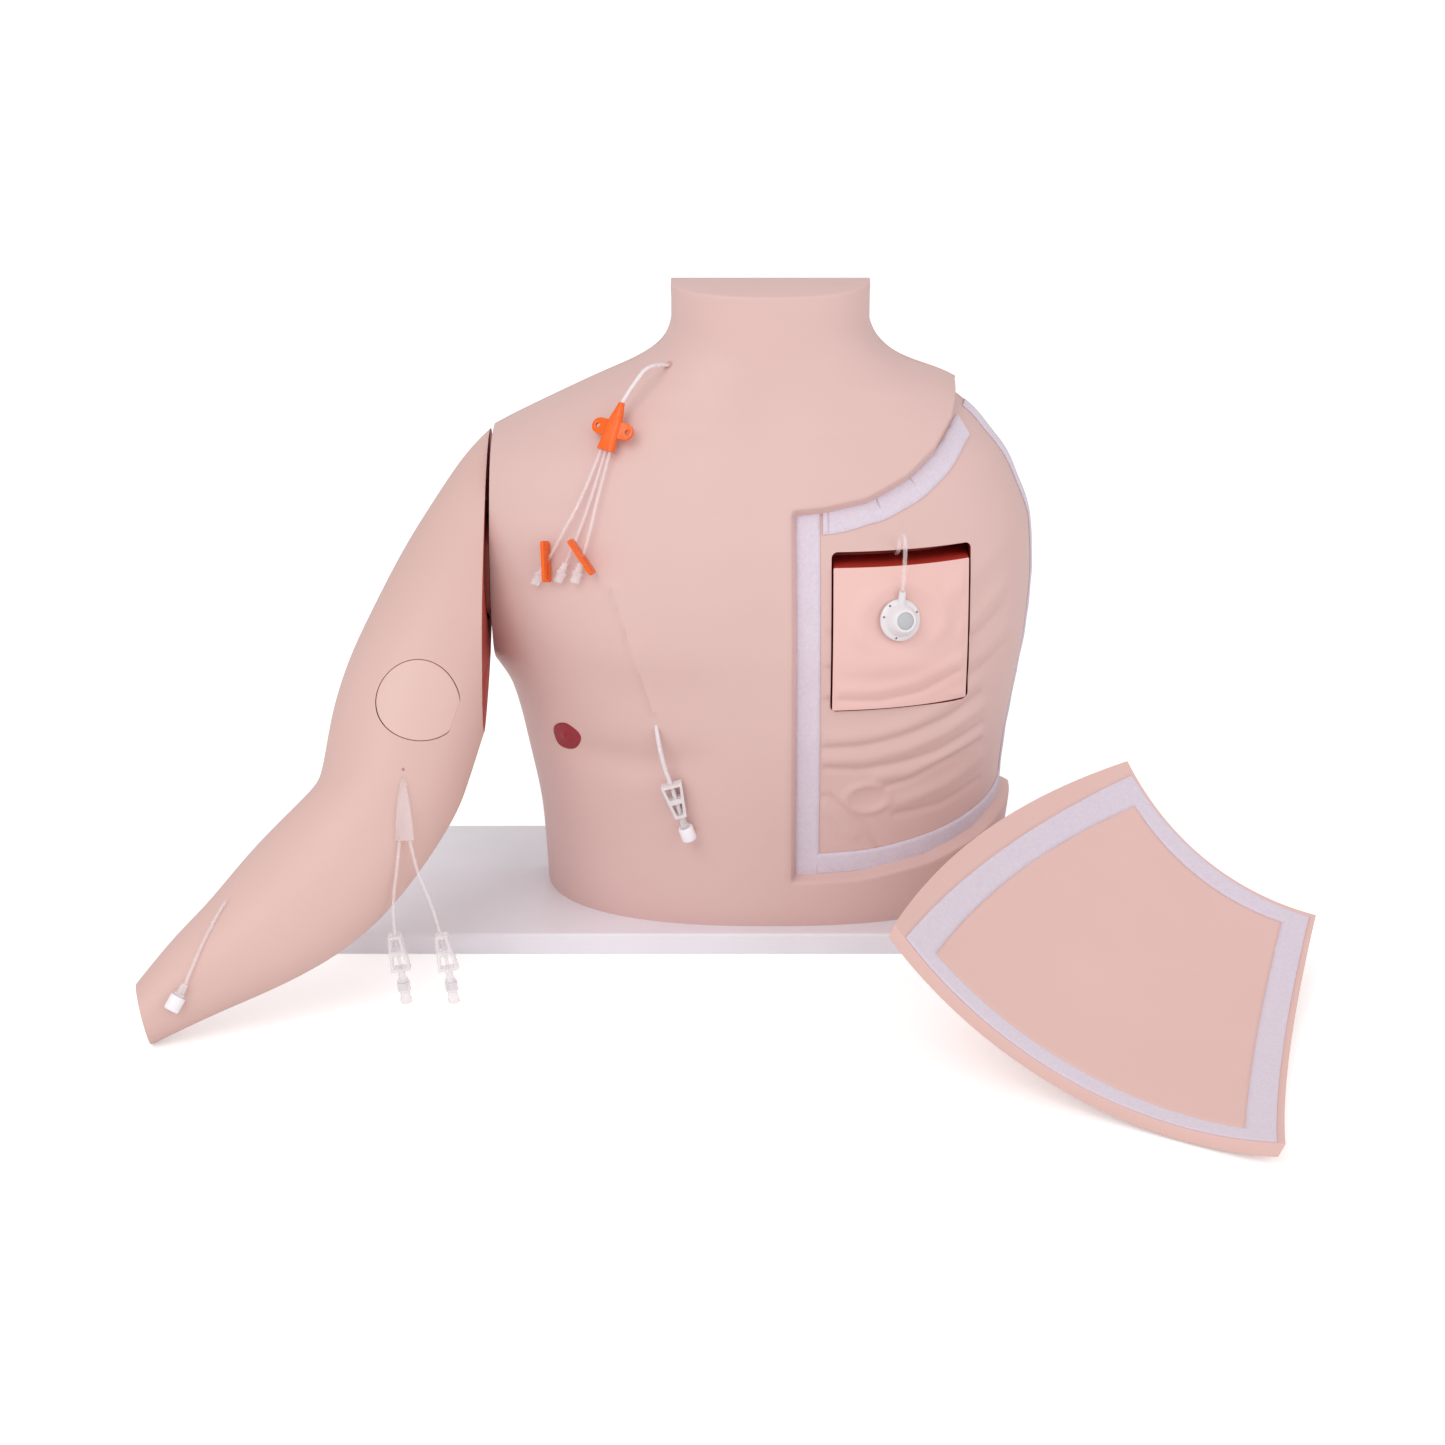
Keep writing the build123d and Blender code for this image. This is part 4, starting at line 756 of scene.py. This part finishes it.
def make_torso():
    """The moulded skin of the torso."""
    skin = close_shell("torso_skin", torso_grid())
    cut_flat(skin, (JOINT_X, 0, 0), (-1, 0, 0))
    x1, x2, z1, z2 = POCKET
    room = 0.3
    carve(skin, rounded_box("pocket_tool", x1 - room, x2 + room, -200, -20,
                            z1 - room, z2 + room, 4.0))
    smooth(skin, 42)
    settle(skin, SKIN, "torso", "skin", "torso_shell")
    face_look(skin, JOINT_RED, lambda f: (
        f.normal.x < -0.99 and f.center.x < (JOINT_X + 0.01) * MM))
    # The skin's own cut walls in the pocket get the tray's dark red: painted shade, so the slot
    # round the insert reads evenly dark.
    face_look(skin, LOOKS["tray_red"], lambda f: (
        x1 - 1 < f.center.x / MM < x2 + 1 and z1 - 1 < f.center.z / MM < z2 + 1
        and abs(f.normal.y) < 0.2 and f.center.y / MM > SLOT_SHADE_FRONT))


def make_insert():
    """The skin block in the pocket, with its ribs and the soft ring round the port."""
    x1, x2, z1, z2 = POCKET[0] + 1, POCKET[1] - 1, POCKET[2] + 1, POCKET[2] + 97
    x, z = np.meshgrid(np.linspace(x1, x2, 91), np.linspace(z1, z2, 97))
    top, out = front_place(x, z, RECESS_DEPTH - 2.0)
    ring = np.hypot((x - PORT_X) / 28.0, (z - PORT_Z) / 26.0)
    above = smooth_step((z - 214.0) / 16.0)
    relief = ribs(x, z) + 1.7 * np.exp(-((ring - 1.0) / 0.24) ** 2) * above
    relief -= 2.2 * np.exp(-(ring / 0.72) ** 4) - 0.9 * bell(x, z, PORT_X, 205.0, 34.0, 7.0)
    edge = np.minimum(np.minimum(x - x1, x2 - x), np.minimum(z - z1, z2 - z))
    top = top + out * (relief * smooth_step(edge / 6.0))[..., None]
    under, _ = front_place(x, z, RECESS_DEPTH + 25.0)
    bottom = top.copy()
    bottom[..., 1] = under[..., 1]
    block = closed_sheet("insert_skin", top, bottom)
    work = bmesh.new()
    work.from_mesh(block.data)
    corners = [e for e in work.edges if len(e.link_faces) == 2 and e.calc_face_angle() > 1.2
               and abs(e.verts[0].co.y - e.verts[1].co.y) > 0.015]
    bmesh.ops.bevel(work, geom=corners, offset=3.0 * MM, segments=5, profile=0.5,
                    affect="EDGES")
    work.to_mesh(block.data)
    work.free()
    soften(block, 1.1, 3)
    smooth(block, 40)
    settle(block, INSERT_SKIN, "torso", "skin", "port_insert")
    # The block's faces that are not front-facing, inside the slot, get the tray's dark red:
    # painted shade for the gap round the block.
    face_look(block, LOOKS["tray_red"], lambda f: abs(f.normal.y) < 0.3)


def make_areola():
    """The painted disc and its raised middle, laid on the skin."""
    turns = np.linspace(0, 2 * math.pi, 48, endpoint=False)
    radius = 11.2 * (1 + 0.03 * np.sin(3 * turns + 1) + 0.02 * np.sin(5 * turns))
    cx, cz = AREOLA
    rows = []
    for share in (0.0, 0.12, 0.22, 0.34, 0.5, 0.7, 0.86, 0.95, 1.0):
        place, out = front_place(cx + 0.86 * radius * share * np.cos(turns),
                                 cz + 0.94 * radius * share * np.sin(turns), 0.0)
        disc = 0.7 * smooth_step((1.1 - share) / 0.2) - 0.5 * (share > 0.97)
        lift = disc + 2.2 * np.exp(-(radius * share / 2.8) ** 2)
        rows.append(place + out * lift[:, None])
    places = np.array(rows)
    _, out = front_place(cx + 0 * turns, cz + 0 * turns, 0.0)
    both = np.concatenate([places, (places - out * 3.5)[::-1]])
    disc = new_mesh("areola", both.reshape(-1, 3), grid_faces(len(both), len(turns), wrap=True))
    smooth(disc, 60)
    settle(disc, AREOLA_PAINT, "torso", "skin")


# The arm.

def arm_way(out, along):
    """A way in the arm's plane, from how far it goes out and how far down the arm."""
    return np.array((-out, -along * math.sin(ARM_SWING), -along * math.cos(ARM_SWING)))


FORWARD = np.array((0.0, -math.cos(ARM_SWING), math.sin(ARM_SWING)))


def arm_place(out, along, forward=0.0):
    """A place from the shoulder's pivot, by the arm's own ways."""
    return PIVOT + arm_way(out, along) + FORWARD * forward


def even_curve(values, at):
    """A natural cubic curve through evenly numbered values."""
    values = np.asarray(values, float)
    count = len(values)
    system = np.eye(count)
    right = np.zeros((count,) + values.shape[1:])
    for k in range(1, count - 1):
        system[k, k - 1:k + 2] = (1, 4, 1)
        right[k] = 6 * (values[k - 1] - 2 * values[k] + values[k + 1])
    bends = np.linalg.solve(system, right)
    k = np.clip(at.astype(int), 0, count - 2)
    t = (at - k).reshape((-1,) + (1,) * (values.ndim - 1))
    return ((1 - t) * values[k] + t * values[k + 1]
            + (((1 - t) ** 3 - (1 - t)) * bends[k] + (t ** 3 - t) * bends[k + 1]) / 6)


def make_arm():
    """The bent arm, its flat shoulder face, its wrist and the cup for the round pad."""
    steps = np.linspace(0, len(ARM_STATIONS) - 1, 200)
    outer, inner, thick = (even_curve(values, steps) for values in zip(*ARM_STATIONS))
    turns = np.linspace(0, 2 * math.pi, 112, endpoint=False)
    rings = []
    for a, b, half in zip(outer, inner, thick):
        rings.append(arm_place(*((a + b) / 2))
                     + np.cos(turns)[:, None] * arm_way(*(a - b)) / 2
                     + np.sin(turns)[:, None] * FORWARD * half)
    places = np.array(rings)
    count = len(turns)
    faces = grid_faces(len(places), count, wrap=True)
    faces.append(tuple(range(count - 1, -1, -1)))
    faces.append(tuple((len(places) - 1) * count + c for c in range(count)))
    arm = new_mesh("arm_skin", places.reshape(-1, 3), faces)
    cut_flat(arm, (JOINT_X - JOINT_GAP, 0, 0), (1, 0, 0))
    near, far = np.array(WRIST_CUT[0]), np.array(WRIST_CUT[1])
    end = arm_way(*((far - near)[::-1] * np.array((1, -1))))
    end /= np.linalg.norm(end)
    cut_flat(arm, arm_place(*((near + far) / 2)), end)
    pad = bpy.data.objects.new("arm_pad_skin", arm.data.copy())
    bpy.context.scene.collection.objects.link(pad)
    carve(arm, pad_tool(PAD_RADIUS + PAD_GAP, PAD_FLOOR, 90.0))
    carve(pad, pad_tool(PAD_RADIUS - PAD_GAP, PAD_FLOOR + 0.3, 90.0), "INTERSECT")
    for piece in (arm, pad):
        soften(piece, 0.7, 2)
        smooth(piece, 40)
    settle(arm, ARM_SKIN, "arm", "arm_skin", "right_arm")
    face_look(arm, JOINT_RED, lambda f: (
        f.normal.x > 0.99 and f.center.x > (JOINT_X - JOINT_GAP - 0.01) * MM))
    settle(pad, PAD_SKIN, "arm", "arm_skin", "arm_pad")


def pad_tool(radius, low, high):
    """A round cutter square to the arm at the pad."""
    bpy.ops.mesh.primitive_cylinder_add(vertices=96, radius=radius * MM,
                                        depth=(high - low) * MM)
    tool = bpy.context.object
    centre = Vector(arm_place(PAD_OUT, PAD_ALONG, (low + high) / 2) * MM)
    turn = Vector(FORWARD).to_track_quat("Z", "Y").to_matrix().to_4x4()
    tool.data.transform(Matrix.Translation(centre) @ turn)
    return tool


# The chest cover and the tapes.

# The cover: its thickness, the radii of its two curves, its outline laid flat, and where and
# how it lies.
COVER_THICK, COVER_ROUND, COVER_BEND = 9.0, 240.0, 1000.0
COVER_CORNERS = [(-68.0, -141.0), (96.0, -157.0), (120.0, 152.0), (-146.0, 141.0)]
COVER_BOWS = [8.0, -19.0, 6.0, 0.0]
COVER_AT = np.array((233.0, -198.0, 33.0))
COVER_ACROSS = np.array((-0.806, 0.439, 0.398))
COVER_FACING = np.array((0.301, -0.274, 0.913))
COVER_TAPE_INSETS = [4.0, 8.5, 4.0, 4.0]
COVER_TAPE_BOW = 0.7
CHANNEL = 0.9


def dished(x, y, lift):
    """A place on the dished cover at a height over its inside, before it sinks to the table."""
    facing = COVER_FACING / np.linalg.norm(COVER_FACING)
    across = COVER_ACROSS - facing * (COVER_ACROSS @ facing)
    across /= np.linalg.norm(across)
    along = np.cross(facing, across)
    rise = COVER_BEND - np.sqrt((COVER_BEND - lift) ** 2 - y ** 2)
    height = COVER_ROUND - np.sqrt((COVER_ROUND - rise) ** 2 - x ** 2)
    place = x[..., None] * across + y[..., None] * along + height[..., None] * facing
    return place + COVER_AT


def bowed_side(start, end, bow, t):
    """Places along a shallow arc between two corners."""
    start, end = np.array(start), np.array(end)
    way = end - start
    length = np.hypot(*way)
    off = np.array((-way[1], way[0])) / length
    if abs(bow) < 0.5:
        return start + way * t[:, None]
    radius = (length ** 2 / 4 + bow ** 2) / (2 * abs(bow))
    angle = math.asin(length / 2 / radius)
    turn = (2 * t - 1) * angle
    forward = radius * np.sin(turn)
    rise = radius * (np.cos(turn) - math.cos(angle)) * (1 if bow > 0 else -1)
    return (start + end) / 2 + way / length * forward[:, None] + off * rise[:, None]


def patch(corners, bows, u, v):
    """A grid of plan places inside four bowed sides, at shares across and along."""
    low = bowed_side(corners[0], corners[1], bows[0], u)
    right = bowed_side(corners[1], corners[2], bows[1], v)
    high = bowed_side(corners[3], corners[2], -bows[2], u)
    left = bowed_side(corners[0], corners[3], -bows[3], v)
    across, along = (share[..., None] for share in np.meshgrid(u, v))
    c = [np.array(k) for k in corners]
    flat = ((1 - across) * (1 - along) * c[0] + across * (1 - along) * c[1]
            + across * along * c[2] + (1 - across) * along * c[3])
    return ((1 - along) * low + along * high
            + (1 - across) * left[:, None] + across * right[:, None] - flat)


def inset_corners(corners, insets):
    """Corners of a four-sided outline after each side moves inwards."""
    corners = [np.array(c) for c in corners]
    middle = sum(corners) / 4
    sides = []
    for k in range(4):
        a, b = corners[k], corners[(k + 1) % 4]
        n = np.array((-(b - a)[1], (b - a)[0])) / np.hypot(*(b - a))
        n = n if (middle - a) @ n > 0 else -n
        sides.append((n, n @ a + insets[k]))
    return [tuple(np.linalg.solve(np.array([sides[k - 1][0], sides[k][0]]),
                                  np.array([sides[k - 1][1], sides[k][1]]))) for k in range(4)]


def soft_strip(node, grid, out, thick, cuts=1.0):
    """A strip of tape with rounded edges, from a grid of places and the way out of them."""
    rows, columns = grid.shape[:2]
    u = np.abs(np.linspace(-1, 1, columns))
    swell = np.clip(1 - np.clip((u - 0.9) / 0.1, 0, 1) ** 2, 0, 1) ** 0.5
    rise = thick * (0.35 + 0.65 * swell)
    wave = 0.12 * np.sin(np.linspace(0, rows * 0.45, rows))[:, None]
    top = grid + out * ((rise[None, :] + wave * swell[None, :]) * cuts)[..., None]
    strip = closed_sheet(node + "_strip", top, grid)
    smooth(strip, 50)
    settle(strip, TAPE, "torso", "tape", node)


def cover_drop():
    """How far the cover moves for its lowest place to rest on the table."""
    plan = patch(COVER_CORNERS, COVER_BOWS, np.linspace(0, 1, 60), np.linspace(0, 1, 60))
    return -dished(plan[..., 0], plan[..., 1], -COVER_THICK)[..., 2].min()


COVER_DROP = np.array((0, 0, cover_drop()))


def cover_place(plan, lift):
    """Places on the cover in the torso's frame, from plan places and their height."""
    return dished(plan[..., 0], plan[..., 1], lift) + COVER_DROP


def inside_of(plan, corners, bows):
    """How far plan places are inside four bowed sides."""
    away = []
    for k in range(4):
        a, b = np.array(corners[k]), np.array(corners[(k + 1) % 4])
        way = (b - a) / np.hypot(*(b - a))
        share = (plan - a) @ way / np.hypot(*(b - a))
        off = (plan - a) @ np.array((-way[1], way[0]))
        away.append(off - bows[k] * (1 - (2 * share - 1) ** 2))
    return np.min(away, axis=0)


def make_cover():
    """The loose chest cover, its inside up, with four tapes in a shallow channel."""
    border = 0.13
    dense = np.linspace(0.0, border, 36, endpoint=False)
    steps = np.concatenate([dense, np.linspace(border, 1.0 - border, 56), 1.0 - dense[::-1]])
    plan = patch(COVER_CORNERS, COVER_BOWS, steps, steps)
    outer = inset_corners(COVER_CORNERS, COVER_TAPE_INSETS)
    inner = inset_corners(COVER_CORNERS, [i + TAPE_WIDTH for i in COVER_TAPE_INSETS])
    bows = [bow * COVER_TAPE_BOW for bow in COVER_BOWS]
    sunk = (smooth_step((inside_of(plan, outer, bows) + 1.4) / 1.4)
            * (1 - smooth_step((inside_of(plan, inner, bows) - 0.5) / 1.6)))
    cover = closed_sheet("cover_skin", cover_place(plan, -CHANNEL * sunk),
                         cover_place(plan, -COVER_THICK))
    soften(cover, 2.4, 4)
    smooth(cover, 40)
    settle(cover, COVER_SKIN, "torso", "skin", "chest_cover")
    t, w = np.linspace(0, 1, 90), np.linspace(0, 1, 13)[:, None]
    lift = 0.05 - CHANNEL
    for k, side in enumerate(("neckline", "flank", "hem", "sternum")):
        after = (k + 1) % 4
        a = bowed_side(outer[k], outer[after], bows[k], t)
        b = bowed_side(inner[k], inner[after], bows[k], t)
        plan = a[:, None] * (1 - w) + b[:, None] * w
        grid = cover_place(plan, lift)
        soft_strip(f"cover_tape_{side}", grid, cover_place(plan, lift + 1.0) - grid,
                   COVER_TAPE_THICK)


def neck_nicks(t, w):
    """The height of the neckline tape as a share, with three small cuts from its outer edge."""
    # Each cut: how far along the tape it is, how deep it goes, and how it leans.
    cuts = ((0.36, 0.42, 0.03), (0.615, 0.3, -0.02), (0.035, 0.9, 0.0))
    return 1.0 - 0.85 * sum(np.exp(-((t + lean * w - at) / 0.0035) ** 2)
                            * (1 - smooth_step((w - deep) / 0.12)) for at, deep, lean in cuts)


def make_tapes():
    """The four tapes round the recess, just inside its edges."""
    w = np.linspace(0, 1, 13)[None, :]
    lift = RECESS_DEPTH - 0.15
    off_lip = 3.4

    def lay(node, x, z, cuts=1.0):
        """A tape on the recess floor, over places of the front view."""
        grid, out = front_place(x, z, lift)
        soft_strip(node, grid, out, TAPE_THICK, cuts)
    z = np.linspace(47.4, 307.6, 150)[:, None] + 0 * w
    lay("tape_sternum", sternum_x(z) + off_lip + TAPE_WIDTH * w, z)
    t = np.linspace(0, 1, 240)[:, None]
    x = TAPED_TO + (120.0 - TAPED_TO) * t
    z = np.interp(x[:, 0], NECKLINE[:, 0], NECKLINE[:, 1])
    z = np.convolve(np.pad(z, 16, mode="edge"), np.ones(33) / 33, "valid")[:, None]
    turned = smooth_step(t / 0.22)
    lean = 0.55 * turned
    lay("tape_neckline", x + 3.0 * turned + TAPE_WIDTH * lean * w,
        z - 4.2 - TAPE_WIDTH * np.sqrt(1.0 - lean ** 2) * w, neck_nicks(t, w))
    x = np.linspace(33.0, 166.0, 110)[:, None]
    z = steady(HEM[:, 0], HEM[:, 1], x)
    lay("tape_hem", x - 2.0 * w, z + off_lip + TAPE_WIDTH * w)
    z = np.linspace(84.5, 357.0, 150)[:, None] + 0 * w
    grid, out = flank_place(19.6 - 15.8 * w + 0 * z, z, lift)
    soft_strip("tape_flank", grid, out, TAPE_THICK)


# The whole.

# How much the floor glows where the camera sees it, and how bright the sky is as light and as
# seen.
FLOOR_GLOW, SKY_LIGHT, SKY_SEEN = 0.34, 0.72, 1.0


def make_stage():
    """A pale floor under a white sky, and soft light all round."""
    look = Look("studio_floor", (250, 250, 250), 0.9)
    glow = look.node("ShaderNodeEmission", {}, {"Strength": FLOOR_GLOW})
    brighter = look.node("ShaderNodeAddShader", {}, {0: look.shader.outputs[0],
                                                     1: glow.outputs[0]})
    seen_by = look.node("ShaderNodeLightPath").outputs["Is Camera Ray"]
    whole = look.node("ShaderNodeMixShader", {}, {0: seen_by, 1: look.shader.outputs[0],
                                                  2: brighter.outputs[0]})
    look.tree.links.new(whole.outputs[0], look.tree.get_output_node("ALL").inputs[0])
    bpy.ops.mesh.primitive_plane_add(size=16.0, location=(0, 0, -0.0005))
    floor = bpy.context.object
    floor.name = "floor"
    floor.data.materials.append(look.material)
    world = bpy.data.worlds.new("studio")
    bpy.context.scene.world = world
    world.use_nodes = True
    tree = world.node_tree
    tree.nodes.clear()
    path = tree.nodes.new("ShaderNodeLightPath")
    pick = tree.nodes.new("ShaderNodeMixShader")
    output = tree.nodes.new("ShaderNodeOutputWorld")
    tree.links.new(path.outputs["Is Camera Ray"], pick.inputs[0])
    for socket, strength in ((1, SKY_LIGHT), (2, SKY_SEEN)):
        white = tree.nodes.new("ShaderNodeBackground")
        white.inputs[0].default_value = (1.0, 1.0, 1.0, 1.0)
        white.inputs[1].default_value = strength
        tree.links.new(white.outputs[0], pick.inputs[socket])
    tree.links.new(pick.outputs[0], output.inputs[0])
    middle = (0.0, 0.0, 0.2)
    make_lamp("key", (-1.1, -1.7, 2.0), middle, 1.6, 22.0)
    make_lamp("fill", (1.6, -1.6, 1.2), middle, 1.8, 9.0)


def make_cords():
    """The tubes, each running to the fitting that it ends in."""
    clear, milky = LOOKS["clear_tube"], LOOKS["tube_white"]
    cord("port_tube", PORT_TUBE, 1.4, "torso", clear)
    cord("line_tube", LINE_TUBE, 1.3, "torso", milky)
    for k, length in enumerate((85.8, 77.4, 74.8)):
        cord(f"line_lumen_{k + 1}", LUMENS[k], 1.1, "torso", clear)
    cord("tunnelled_tube", CHEST_TUBE, 1.5, "torso", milky)
    for side, length in (("right", 88.0), ("left", 90.4)):
        cord(f"arm_lumen_{side}", ARM_LUMENS[side], 1.1, "arm", clear)
    cord("forearm_tube", FOREARM_TUBE, 1.1, "arm", clear)


SMALL_PARTS = {
    "port_body": "port_white", "port_septum": "septum_grey", "line_hub": "orange",
    "line_clamp_1": "orange", "line_clamp_3": "orange", "line_fittings": "clear",
    "tunnelled_clamp": "tube_white", "tunnelled_fitting": "clear", "tunnelled_cap": "cap_white",
    "arm_line_tube": "clear", "arm_line_body": "clear", "arm_clamp_right": "clear",
    "arm_clamp_left": "clear", "arm_right_fitting": "clear", "arm_left_fitting": "clear",
    "arm_right_cap": "clear", "arm_left_cap": "clear", "forearm_fitting": "clear",
    "forearm_cap": "cap_white",
}
BODY_OF = {node: body for body, nodes in frame["record"]["behaviour"]["bodies"].items()
           for node in nodes}
SLOT_OF = {part["node"]: part["material_slot"] for part in frame["record"]["subparts"]}

bpy.context.scene.view_settings.view_transform = "Standard"
make_camera()
for node, slot in SMALL_PARTS.items():
    look = LOOKS["clear_tube" if node in ("arm_line_body", "arm_line_tube") else slot]
    dressed(node, look, slot, BODY_OF[node], 0.8 if node == "arm_line_body" else 0.25)
make_cords()
make_stage()
make_torso()
make_insert()
make_areola()
make_arm()
make_cover()
make_tapes()
for node, thing in frame["nodes"].items():
    if not thing.hide_render:
        thing.data.materials.clear()
        thing.data.materials.append(LOOKS[SLOT_OF[node]])
